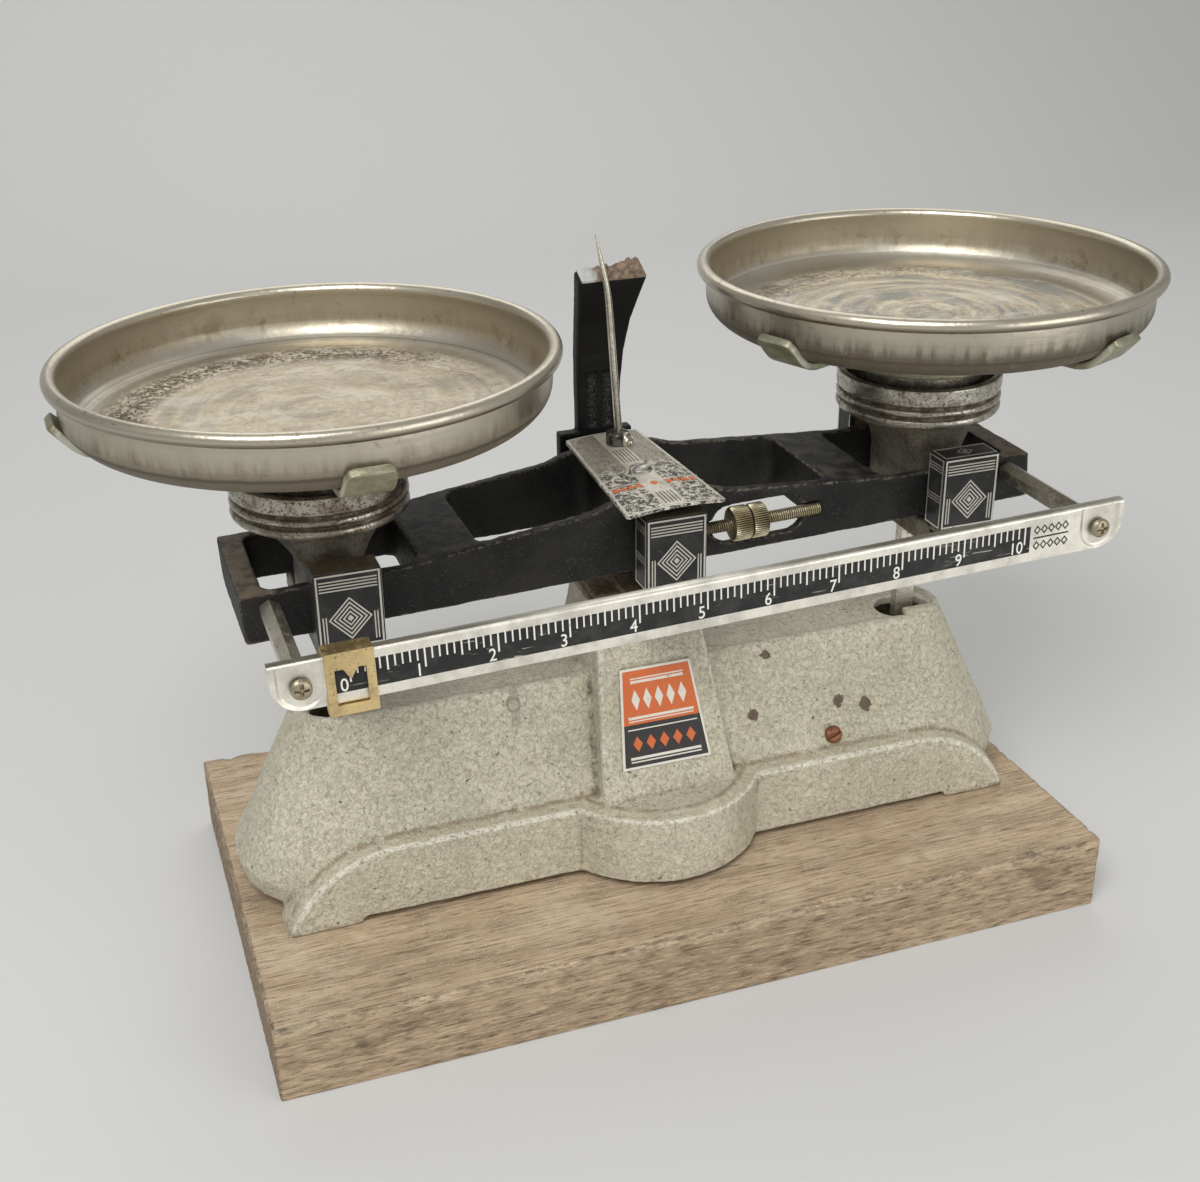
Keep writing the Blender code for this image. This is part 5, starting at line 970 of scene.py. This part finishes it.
def makeCaps():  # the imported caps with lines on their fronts, sides and tops
    upright = Matrix.Rotation(math.radians(90), 4, "X")
    groups = (("left", "left_support", onLeft, cap["endLow"], cap["endTop"]),
              ("right", "right_support", onRight, cap["endLow"], cap["endTop"]),
              ("centre", "base", onFork, cap["middleLow"], cap["middleTop"]))
    for word, body, place, low, high in groups:
        for end, turn in (("front", 0.0), ("rear", math.pi)):
            node = "centre_%s_cap" % end if word == "centre" else "%s_%s_cap" % (word, end)
            dress(node, looks["capBlack"], 0.25)
            spin = place @ Matrix.Rotation(turn, 4, "Z")
            face = spin @ Matrix.Translation((0, -(cap["front"] + 0.01) * mm, 0)) @ upright
            puts("%s_%s_cap_lines" % (word, end), capMotif(low, high), looks["capLine"], body, face)
            for side, angle in ((-1, -math.pi / 2), (1, math.pi / 2)):
                flank = spin @ Matrix.Translation((side * (cap["half"] + 0.01) * mm, -32.2 * mm, 0))
                flank = flank @ Matrix.Rotation(angle, 4, "Z") @ upright
                name = "%s_%s_cap_%s_lines" % (word, end, "left" if side < 0 else "right")
                if word == "left" and side * math.cos(turn) < 0:
                    continue
                puts(name, sideMotif(low, high), looks["capLine"], body, flank)
            lid = slab((-9.9, -36.9, high + 0.0), (9.9, -27.5, high + 0.07), 0.03)
            look = looks["capBlack" if word == "right" and end == "front" else "capTop"]
            puts("%s_%s_cap_top" % (word, end), lid, look, body, spin)
            if look is looks["capBlack"]:
                flat = spin @ Matrix.Translation((0, -32.2 * mm, (high + 0.07) * mm))
                marks = [frameLine(9.6, 4.3, 0.5), lozenge(3.0, 0.5, 0, 0, 0.8),
                         rule(0, 0, 1.6, 1.2, 0.0, 0.05)]
                puts("right_front_cap_lid_lines", marks, looks["capLine"], body, flat)
    for word in ("left", "right"):
        for end in ("front", "rear"):
            dress("%s_%s_bearing" % (word, end), looks["agate"])
            dress("%s_%s_knife" % (word, end), looks["steel"])
    for end in ("front", "rear"):
        dress("centre_%s_bearing" % end, looks["agate"])
        dress("centre_%s_knife" % end, looks["steel"])


makeFork()
makeCaps()
print("fork, arm and caps made")


needle = dict(foot=(2.4, 19.6, 23.0), bend=(0.7, 19.6, 71.2), tip=(-2.8, 19.6, 90.3))
scale = dict(zero=-112.1, step=21.11, low=-0.9, high=7.8, start=-117.4, end=100.9)
rod = dict(y=-25.0, z=2.2, start=13.8, end=55.4, pitch=0.75, points=620)


def makeBeam():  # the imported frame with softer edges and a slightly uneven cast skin
    mesh, points, normals = castMesh("beam_frame", 0.75, 2, 8)
    points = points + normals * (0.07 * ripple(points, 9, 51) + 0.04 * ripple(points, 2.5, 52))[:, None]
    movePoints(mesh, points)
    settles("beam_casting", mesh, looks["beam"], "beam", ("beam_frame",), 60)


def speckledPlate():
    # mottled black on cream at the front, rubbed down to a dull beige towards the back
    look = Look("plate_metal", (0.5, 0.48, 0.42), 0.4, 0.3)
    y = look.axes()[1]
    marble, fine = look.noise(2.2, 5.0, 0.75, None, 0.8), look.noise(0.9, 4.0, 0.7)
    tone = look.mix(marble.step(0.455, 0.51), (0.60, 0.565, 0.475), (0.028, 0.027, 0.024))
    tone = look.mix(fine.step(0.55, 0.60) * 0.8, tone, (0.64, 0.60, 0.50))
    tone = look.mix(look.noise(0.8, 4.0, 0.7).step(0.58, 0.66) * 0.7, tone, (0.05, 0.047, 0.04))
    back = (y + look.noise(14, 4.0, 0.7) * 0.03 - 0.015).step(-0.010, 0.006)
    worn = look.mix(fine.step(0.42, 0.62), (0.37, 0.335, 0.265), (0.235, 0.21, 0.16))
    tone = look.mix(back * 0.9, tone, worn)
    tone = look.mix(back * marble.step(0.57, 0.62) * 0.7, tone, (0.085, 0.075, 0.06))
    rust = look.noise(5, 4.0, 0.7).step(0.60, 0.70)
    tone = look.mix(rust * 0.4, tone, (0.24, 0.19, 0.13))
    return look.set(Base_Color=tone, Roughness=0.42 + marble * 0.2, Metallic=back * 0.35,
                    Normal=look.bump((marble, 0.05), (fine, 0.06)))


def plateLine():  # the plate's pale borders and middle strip, speckled with dirt
    look = Look("plate_line", (0.6, 0.57, 0.49), 0.45, 0.3)
    fine = look.noise(0.9, 4.0, 0.75)
    tone = look.mix(look.noise(7, 4.0).step(0.35, 0.7), (0.66, 0.63, 0.54), (0.47, 0.435, 0.35))
    tone = look.mix(fine.step(0.585, 0.64) * 0.75, tone, (0.13, 0.105, 0.075))
    return look.set(Base_Color=tone, Roughness=0.42 + fine * 0.2, Normal=look.bump((fine, 0.05)))


def arched(surface):
    # the plate's arch: its height falls with the square of the distance from its middle line
    points = surface[0].copy()
    points[:, 2] += 0.25 - 1.15 * (points[:, 0] / 16.6) ** 2
    return (points,) + tuple(surface[1:])


def makePlate():  # a thin arched trapezium with its printed lines
    outline = np.array([(-16.6, -39.0), (16.6, -39.0), (13.2, 31.0), (-13.2, 31.0)])
    outline = np.concatenate([softLine(np.array([outline[i - 1], outline[i], outline[(i + 1) % 4]]), 2.0,
                                       6)[1:-1] for i in range(4)])
    outline = dense(outline)
    centre = np.array([0.0, -4.0])
    flat = [np.column_stack([centre + (outline - centre) * s, np.full(len(outline), 18.5)])
            for s in (0.99, 0.9, 0.8, 0.7, 0.6, 0.5, 0.4, 0.3, 0.2, 0.1, 0.02)]
    edge = [np.column_stack([outline * k, np.full(len(outline), h)])
            for k, h in ((0.2, 17.5), (0.6, 17.5), (0.99, 17.5), (1.0, 17.65), (1.0, 18.35))]
    looks["plate"], looks["plateLine"] = speckledPlate(), plateLine()
    puts("centre_plate_sheet", arched(skin(np.stack(edge + flat))), looks["plate"], "beam", onBeam,
         ("centre_plate",), 35)
    light, dark, red = [], [], []
    shade = lambda a, b, y0, y1: plateSkin(dense(np.array([(-a, y0), (a, y0), (b, y1), (-b, y1)])), 18.45,
                                           18.56, 0.02, 2)
    light.append(shade(3.9, 3.4, -37.4, 29.4))
    rim = np.array([(-16.2, -38.6), (16.2, -38.6), (12.9, 30.6), (-12.9, 30.6)])
    inner = np.array([(-15.4, -37.8), (15.4, -37.8), (12.2, 29.8), (-12.2, 29.8)])
    shares = np.linspace(0, 1, 30, endpoint=False)[:, None]
    around = lambda box: np.concatenate([a + (b - a) * shares for a, b in zip(box, np.roll(box, -1, 0))])
    light.append(moved(bandSkin(around(rim), around(inner), 0.06), Matrix.Translation((0, 0, 18.49))))
    for x in np.arange(-2.4, 2.5, 1.2):
        for low, high in ((1.0, 13.0), (-36.0, -26.5)):
            dark.append(moved(rule(x, (low + high) / 2, 0.34, high - low, 0.0, 0.05),
                              Matrix.Translation((0, 0, 18.55))))
    for y in (-21.4, -16.6):
        for x in np.arange(-15.0, 15.1, 1.5):
            light.append(moved(rule(x, y, 1.55, 0.5, 0.0, 0.06), Matrix.Translation((0, 0, 18.52))))
    for x in (-12.9, -10.3, -7.7, -5.1, 5.1, 7.7, 10.3, 12.9):
        red.append(plateSkin(arcLine(x, -19.0, 1.2, 1.8, 0, 360, 5)[:4], 18.5, 18.6, 0.01, 2))
    red.append(plateSkin(arcLine(0, -19.0, 1.5, 1.9, 0, 360, 5)[:4], 18.53, 18.62, 0.01, 2))
    for name, marks, look in (("light_lines", light, "plateLine"), ("dark_lines", dark, "labelBlack"),
                              ("red_lozenges", red, "orange")):
        puts("plate_" + name, [arched(mark) for mark in marks], looks[look], "beam", onBeam)


def makePointer():
    # a turned hub and a wire along a line with one soft bend, thinner and flatter at its tip
    profile = softLine([(0.5, 23.3), (3.4, 23.3), (3.9, 22.7), (3.9, 19.2), (3.6, 18.7), (0.5, 18.7)], 0.4)
    puts("pointer_hub_turned", spun(profile, 64, 1.6, 18.7), looks["hubDark"], "beam", onBeam,
         ("pointer_hub",))
    foot, bend, tip = (np.array(needle[key]) for key in ("foot", "bend", "tip"))
    path = softLine(np.stack([foot, bend, tip]), 4.0, 12)
    t = np.linspace(0, 1, 40)[:, None]
    path = np.concatenate([foot + (path[1] - foot) * t[:-1], path[1:-1],
                           path[-2] + (tip - path[-2]) * t[1:]])
    height = path[:, 2]
    radius = np.interp(height, [23, 71, 76, 90.3], [1.35, 1.16, 1.05, 0.25])
    flat = np.interp(height, [23, 70, 76, 90.3], [1.0, 1.0, 0.75, 0.5])
    a = np.linspace(0, 2 * np.pi, 24, endpoint=False)
    section = np.stack([radius[:, None] * np.cos(a), (radius * flat)[:, None] * np.sin(a)], -1)
    puts("pointer_wire", swept(path, section, (1, 0, 0)), looks["needle"], "beam", onBeam,
         ("pointer_needle",))


def nutSkin(start, length, radius, teeth, bore=2.25):
    # a knurled ring about the X axis: the radius falls and rises round the turn, less at both ends
    profile = np.array([(bore, 0), (radius - 1.0, 0), (radius - 0.45, 0.15), (radius, 0.6),
                        (radius, length * 0.5), (radius, length - 0.6), (radius - 0.45, length - 0.15),
                        (radius - 1.0, length), (bore, length)])
    a = np.linspace(0, 2 * np.pi, teeth * 6, endpoint=False)
    depth = np.array([0, 0, 0.2, 0.42, 0.42, 0.42, 0.2, 0, 0])[:, None]
    wave = depth * (0.5 - 0.5 * np.cos(a * teeth)) ** 0.7
    r = profile[:, :1] - wave
    x = np.broadcast_to(start + profile[:, 1:], r.shape)
    ridge = np.where(depth > 0, 1 - wave / np.maximum(depth, 0.01), 0.55)
    return skin(np.stack([x, r * np.cos(a) + rod["y"], r * np.sin(a) + rod["z"]], -1), True), ridge.ravel()


def makeNuts():
    # the thread is a ridge that moves along by one pitch in each turn
    x = np.linspace(rod["start"], rod["end"], rod["points"])
    a = np.linspace(0, 2 * np.pi, 24, endpoint=False)
    ridge = np.abs(((x[:, None] / rod["pitch"] - a / (2 * np.pi)) % 1.0) - 0.5) * 2
    r = 1.72 + 0.36 * ridge
    r[:6] *= np.linspace(0.6, 1, 6)[:, None]
    r[-6:] *= np.linspace(1, 0.6, 6)[:, None]
    thread = skin(np.stack([np.broadcast_to(x[:, None], r.shape), r * np.cos(a) + rod["y"],
                            r * np.sin(a) + rod["z"]], -1))
    puts("threaded_rod", thread, looks["nut"], "beam", onBeam, ("balance_rod",),
         attributes={"ridge": np.concatenate([ridge.ravel(), (0.5, 0.5)])})
    for name, node, body, start, length in (("knurled_nut", "balance_nut", "nut", 23.6, 6.2),
                                            ("knurled_lock_nut", "lock_nut", "lock", 30.1, 5.5)):
        ring, ridge = nutSkin(start, length, 5.7, 46)
        puts(name, ring, looks["nut"], body, onBeam, (node,), attributes={"ridge": ridge})


def makeStrip():
    # The strip is a section carried along X: a round-ended front, a sunk seat at each end and a
    # rolled upper flange. Its lower edge follows a quarter circle at each end.
    half, low, top, t, corner = (strip[key] for key in ("half", "low", "top", "sheet", "corner"))
    x = np.unique(np.concatenate([np.linspace(-half, half, 160), np.linspace(-half, -112, 110),
                                  np.linspace(112, half, 110)]))
    over = np.clip((np.abs(x) - (half - corner)) / corner, 0, 1)
    bottom = low + corner * (1 - np.sqrt(1 - over ** 2))
    v = np.linspace(0, 1, 60)
    z = bottom[:, None] + (top - 1.0 - bottom[:, None]) * v
    side = np.abs(np.abs(x) - strip["screw"])[:, None]
    away = np.where(z > strip["screwHeight"], side, np.hypot(side, z - strip["screwHeight"]))
    down = np.clip((strip["seat"] - away) / strip["seatEdge"], 0, 1)
    y = strip["front"] + strip["seatDepth"] * down ** 1.5 / (0.0001 + down ** 1.5 + (1 - down) ** 1.5)
    front = np.stack([np.broadcast_to(x[:, None], z.shape), y, z], -1)
    rolled = arcLine(-76.3, top - 1.0, 1.0, 1.0, 180, 90, 7)[1:]
    rolled = np.concatenate([rolled, [(-74.4, top), (-73.85, top - 0.2), (-73.8, top - 0.6),
                                      (-73.9, top - t), (-75.2, top - t)]])
    flange = np.stack([np.broadcast_to(x[:, None], (len(x), len(rolled))),
                       np.broadcast_to(rolled[:, 0], (len(x), len(rolled))),
                       np.broadcast_to(rolled[:, 1], (len(x), len(rolled)))], -1)
    back = np.stack([np.broadcast_to(x[:, None], z.shape), np.minimum(y + t, -75.85), z], -1)[:, ::-1]
    ring = np.concatenate([front, flange, back], 1)
    puts("scale_sheet", skin(ring), looks["strip"], "beam", onBeam, ("scale_strip",), 50)

    upright = onBeam @ Matrix.Translation((0, (strip["front"] - 0.01) * mm,
                                           0)) @ Matrix.Rotation(math.radians(90), 4, "X")
    a, b, low, high = scale["start"], scale["end"], scale["low"], scale["high"]
    puts("scale_band", plateSkin(np.array([(a, low), (b, low), (b, high), (a, high)]), 0.0, 0.05, 0.01, 2),
         looks["scaleBlack"], "beam", upright)
    marks = [rule(108.3, 3.6, 12.4, 0.5, 0.0, 0.06)]
    for z in (6.2, 1.0):
        marks += [lozenge(1.25, 0.5, x, z, 1.25) for x in np.arange(103.3, 114, 2.5)]
    puts("strip_lozenges", marks, looks["scaleBlack"], "beam", upright)
    ticks = []
    for k in range(0, 101):
        reach = 5.8 if k % 10 == 0 else (4.4 if k % 5 == 0 else 3.5)
        x = scale["zero"] + scale["step"] * k / 10
        ticks.append(rule(x, high + 0.15 - reach / 2, 0.5 if k % 5 == 0 else 0.46, reach + 0.3, 0.03, 0.09))
    puts("scale_ticks", ticks, looks["scaleLine"], "beam", upright)
    digits = []
    for k in range(11):
        curve = bpy.data.curves.new("digit", "FONT")
        curve.body = str(k)
        curve.size, curve.extrude, curve.align_x, curve.offset = 5.0, 0.03, "CENTER", 0.03
        source = bpy.data.objects.new("digit", curve)
        bpy.context.scene.collection.objects.link(source)
        bpy.context.view_layer.update()
        mesh = bpy.data.meshes.new_from_object(source.evaluated_get(bpy.context.evaluated_depsgraph_get()))
        bpy.data.objects.remove(source)
        points = np.zeros(len(mesh.vertices) * 3)
        mesh.vertices.foreach_get("co", points)
        shift = -2.9 if k == 10 else -1.9
        points = (points.reshape(-1, 3) * (0.96, 1.12, 1.0)
                  + (scale["zero"] + scale["step"] * k + shift, -0.5, 0.06))
        faces = [list(face.vertices) for face in mesh.polygons]
        digits.append((points, faces))
        bpy.data.meshes.remove(mesh)
    count, points, faces = 0, [], []
    for p, f in digits:
        points.append(p)
        faces += [[i + count for i in face] for face in f]
        count += len(p)
    mesh = bpy.data.meshes.new("scale_digits")
    place = np.array(upright)
    points = np.concatenate(points) * mm @ place[:3, :3].T + place[:3, 3]
    mesh.from_pydata(points.tolist(), [], faces)
    settles("scale_digits", mesh, looks["scaleLine"], "beam")


def makeRods():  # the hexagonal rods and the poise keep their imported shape
    for word in ("left", "right"):
        dress(word + "_scale_rod", looks["rod"], 0.25)
    dress("poise", looks["brass"], 0.22)


def darkHub():
    look = Look("hub_dark", (0.12, 0.11, 0.10), 0.35, 0.9)
    dull = look.noise(2.0, 4.0, 0.7)
    return look.set(Base_Color=look.mix(dull.step(0.4, 0.6), (0.20, 0.19, 0.17), (0.05, 0.045, 0.04)),
                    Roughness=0.3 + dull * 0.3, Normal=look.bump((dull, 0.1)))


looks["hubDark"] = darkHub()
makeBeam()
makePlate()
makePointer()
makeNuts()
makeStrip()
makeRods()
print("beam, pointer and scale made")


support = dict(headLow=22.0, headTop=36.2, seat=38.4, radius=27.8, neckX=8.7, neckY=17.3, neckTop=23.2,
               square=2.0, foot=38.7)


def superRing(hx, hy, power, z, count=96):  # an ellipse at power 2, squarer as the power grows
    a = (np.arange(count) + 0.5) * 2 * np.pi / count
    c, s = np.cos(a), np.sin(a)
    x = hx * np.sign(c) * np.abs(c) ** (2 / power)
    y = hy * np.sign(s) * np.abs(s) ** (2 / power)
    return np.stack([x, y, np.full(count, z)], 1)


def makePedestal(word, look, place):
    # a turned head over a neck that goes from round to a narrow rectangle: its half widths follow a sine
    s = support
    low, top, r = s["headLow"], s["headTop"], s["radius"]
    # a tall band and two round rings, with a narrow groove above each ring
    rings = [(0.0, 13.7), (0.05, 11.5), (0.0, 9.6), (0.25, 8.3), (1.1, 7.7), (1.15, 7.15), (0.35, 6.6),
             (0.0, 5.7), (0.3, 4.8), (1.1, 4.3), (1.15, 3.75), (0.35, 3.2), (0.0, 2.2), (0.35, 1.1),
             (1.5, 0.25), (3.2, 0.0)]
    line = [(0.5, s["seat"]), (21.0, s["seat"]), (21.0, top - 4), (r - 2.5, top - 4), (r - 2.5, top - 0.4),
            (r - 1.2, top)]
    line += [(r - back, low + up) for back, up in rings] + [(0.5, low)]
    head = spun(softLine(line, 0.35, 5), 160)
    z = np.linspace(low + 1.0, s["square"], 50)
    share = (low + 1.0 - z) / (low + 1.0 - s["square"])
    blend = np.sin(np.pi / 2 * np.clip(share * 1.02, 0, 1)) ** 0.9
    hx = s["neckTop"] + (s["neckX"] - s["neckTop"]) * blend
    hy = s["neckTop"] + (s["neckY"] - s["neckTop"]) * blend
    power = 2 + 5 * share ** 2
    rings = [superRing(a, b, p, h) for a, b, p, h in zip(hx, hy, power, z)]
    rings += [superRing(s["neckX"], s["neckY"], 7.0, h) for h in np.linspace(s["square"] - 1, -15, 14)]
    neck = skin(np.stack(rings))
    yoke = slab((-8.4, -35.9, -19.0), (8.4, 35.9, -11.0), 0.8)
    legs = [slab((min(e * 4.6, e * 8.4), min(d * 28.4, d * 35.9), -14.0),
                 (max(e * 4.6, e * 8.4), max(d * 28.4, d * 35.9), -2.5), 0.4) for e in (-1, 1)
            for d in (-1, 1)]
    surfaces = [head, neck, yoke] + legs
    points = np.concatenate([surface[0] for surface in surfaces])
    lowest = np.clip((low + 2.0 - points[:, 2]) / 3.0, 0, 1)
    radius = np.hypot(points[:, 0], points[:, 1])
    groove = (np.clip((r - 0.6 - radius) / 0.4, 0, 1) * (points[:, 2] > low + 0.7)
              * (points[:, 2] < top - 0.6))
    puts(word + "_pedestal_casting", surfaces, look, word + "_support", place, (word + "_pedestal",),
         45, {"low": lowest, "groove": groove})


def makeSpider(word, place, turn):
    # a turned drum, and four strips carried out along a line that bends up at its end
    foot = support["foot"]
    profile = softLine([(0.5, foot + 11.5), (24.9, foot + 11.5), (25.4, foot + 10.8), (25.4, foot + 0.6),
                        (24.9, foot), (0.5, foot)], 0.5)
    surfaces = [spun(profile, 128)]
    section = roundRect(7.5, 1.25, 0.7, 5)
    line = softLine(np.array([(0.0, foot + 12.85), (67.0, foot + 12.85), (75.6, foot + 22.5)]), 5.0, 12)
    t = np.linspace(0, 1, 30)[1:-1, None]
    line = np.concatenate([line[:1], line[0] + (line[1] - line[0]) * t, line[1:-1],
                           line[-2] + (line[-1] - line[-2]) * t, line[-1:]])
    for quarter in range(4):
        # two strips meet in the middle, and the other two start at their rounded sides
        part = line if quarter % 2 == 0 else np.concatenate([[(6.85, line[0, 1])], line[line[:, 0] > 8.5]])
        narrow = np.interp(part[:, 0], [0, 60, 73.5, 75.2, 75.6], [1, 1, 0.97, 0.86, 0.72])
        a = turn + quarter * math.pi / 2
        path = np.column_stack([part[:, 0] * math.cos(a), part[:, 0] * math.sin(a), part[:, 1]])
        shape = section[None] * np.stack([narrow, np.ones_like(narrow)], -1)[:, None]
        surfaces.append(swept(path, shape, (-math.sin(a), math.cos(a), 0)))
    points = np.concatenate([surface[0] for surface in surfaces])
    a = np.arctan2(points[:, 1], points[:, 0]) - turn
    across = (np.abs(np.sin((a + math.pi / 4) % (math.pi / 2) - math.pi / 4))
              * np.hypot(points[:, 0], points[:, 1]))
    lip = (np.clip((np.hypot(points[:, 0], points[:, 1]) - 66) / 3, 0, 1)
           * np.clip((across - 6.6) / 0.6, 0, 1))
    puts(word + "_spider_strips", surfaces, looks["olive"], word + "_support", place, (word + "_spider",),
         40, {"lip": lip})


pan = dict(seat=53.1, sheet=0.9, floor=53.6, floorTop=1.5, step=57.0, cove=(62, 9), coveSize=(11.0, 9.0),
           roll=(74.0, 18.0), rollRadius=2.2, steps=224)


def makePan(word, look, place, seed):
    # a turned section: floor, low step, quarter ellipse up to the wall, rolled bead, and back outside
    sheet, floor, top, step = pan["sheet"], pan["floor"], pan["floorTop"], pan["step"]
    wide, high = pan["coveSize"]
    inner = [[(0.4, top), (floor, top)],
             softLine([(floor, top), (54.5, top), (55.6, sheet), (step, sheet)], 0.5, 5),
             arcLine(*pan["cove"], wide - sheet, high - sheet, -90, 0, 18)]
    roll = arcLine(*pan["roll"], pan["rollRadius"], pan["rollRadius"], 200, -118, 22)
    outer = [arcLine(*pan["cove"], wide, high, 0, -90, 18),
             softLine([(step, 0.0), (55.6, 0.0), (54.5, top - sheet), (floor, top - sheet)], 0.5, 5),
             [(0.4, top - sheet)]]
    lines = [np.asarray(line, float) for line in inner]
    start = len(np.concatenate(lines)) + len(roll)
    profile = np.concatenate(lines + [roll] + [np.asarray(line, float) for line in outer])
    surface = spun(profile, pan["steps"])
    points = surface[0].copy()
    # a spun sheet is a little out of round, and its floor a little hollow
    a = np.arctan2(points[:, 1], points[:, 0])
    r = np.hypot(points[:, 0], points[:, 1])
    points[:, 2] += 0.22 * np.cos(2 * a + seed) * np.clip((r - 57) / 20, 0, 1)
    points[:, 2] += 0.10 * ripple(points * np.array([1, 1, 0]), 30, seed) * np.clip((60 - r) / 20, 0, 1)
    points[:, 2] += pan["seat"]
    inside, under, bead = np.zeros((3, len(profile), pan["steps"]))
    inside[:start - len(roll)] = 1.0
    under[start:] = 1.0
    bead[start - len(roll):start] = 1.0
    foot = np.full(len(points), (place.translation.z * 1000 + pan["seat"]) * mm)
    ends = np.array([1.0, 0.0])
    puts(word + "_pan_sheet", (points,) + surface[1:], look, word + "_pan_body", place, (word + "_pan",),
         50, {"inside": np.concatenate([inside.ravel(), ends]),
                            "under": np.concatenate([under.ravel(), 1 - ends]),
                            "bead": np.concatenate([bead.ravel(), (0.0, 0.0)]), "foot": foot})


for word, place, turn, seed in (("left", onLeft, math.radians(2), 5),
                                ("right", onRight, math.radians(23), 9)):
    makePedestal(word, looks[word + "Head"], place)
    makeSpider(word, place, turn)
    makePan(word, looks[word + "Pan"], place, seed)
    dress(word + "_stem", looks["rod"], 0.3)
    dress(word + "_check_pin", looks["steel"])
dress("check_link", looks["steel"], 0.2)
print("supports and pans made")


studio = dict(floor=(0.62, 0.62, 0.61), world=0.45, key=13.0, fill=5.0, back=4.6)


def makeStudio():
    # floor and backdrop are one sheet that curves up behind the balance
    a = np.radians(np.linspace(0, 90, 24))
    line = np.concatenate([[(-2500.0, 0.0)], np.stack([900 + 500 * np.sin(a), 500 - 500 * np.cos(a)], 1),
                           [(1400.0, 2600.0)]])
    x = np.array([-3500.0, 3500.0])
    points = np.stack([np.broadcast_to(x[:, None], (2, len(line))),
                       np.broadcast_to(line[:, 0], (2, len(line))),
                       np.broadcast_to(line[:, 1], (2, len(line)))], -1).reshape(-1, 3) * mm
    n = len(line)
    faces = [(i, n + i, n + i + 1, i + 1) for i in range(n - 1)]
    mesh = bpy.data.meshes.new("studio_floor")
    mesh.from_pydata(points.tolist(), [], faces)
    mesh.shade_smooth()
    mesh.materials.append(Look("studio_floor", studio["floor"], 0.9).material)
    floor = bpy.data.objects.new("studio_floor", mesh)
    bpy.context.scene.collection.objects.link(floor)

    world = bpy.data.worlds.new("studio")
    world.use_nodes = True
    world.node_tree.nodes["Background"].inputs["Color"].default_value = (1.0, 0.99, 0.97, 1.0)
    world.node_tree.nodes["Background"].inputs["Strength"].default_value = studio["world"]
    bpy.context.scene.world = world

    for name, place, size, power, aim in (("key", (-0.55, -0.75, 1.15), 0.7, studio["key"], (0, 0, 0.1)),
                                          ("fill", (0.7, -1.1, 0.28), 0.9, studio["fill"], (0, 0, 0.1)),
                                          ("back", (0.2, 0.85, 1.1), 1.1, studio["back"], (0, 0, 0.12))):
        lamp = bpy.data.lights.new(name, "AREA")
        lamp.shape, lamp.size, lamp.energy = "SQUARE", size, power
        thing = bpy.data.objects.new(name, lamp)
        thing.location = place
        thing.rotation_euler = (Vector(place) - Vector(aim)).to_track_quat("Z", "Y").to_euler()
        bpy.context.scene.collection.objects.link(thing)


def makeCamera():
    # the focal length and the optical centre are in the photograph's pixels
    wide, high, focal, centre = 1200, 1182, 1606.68, (568.28, 596.68)
    data = bpy.data.cameras.new("camera")
    data.sensor_fit = "HORIZONTAL"
    data.sensor_width = 36.0
    data.lens = focal * 36 / wide
    data.shift_x = (wide / 2 - centre[0]) / wide
    data.shift_y = (centre[1] - high / 2) / wide
    camera = bpy.data.objects.new("camera", data)
    camera.location = (-0.17511, -0.46242, 0.32386 + boardTop * mm)
    camera.rotation_euler = (1.12130, 0.02081, -0.32605)
    bpy.context.scene.collection.objects.link(camera)
    bpy.context.scene.camera = camera


makeStudio()
makeCamera()
bpy.context.scene.view_settings.view_transform = "Standard"
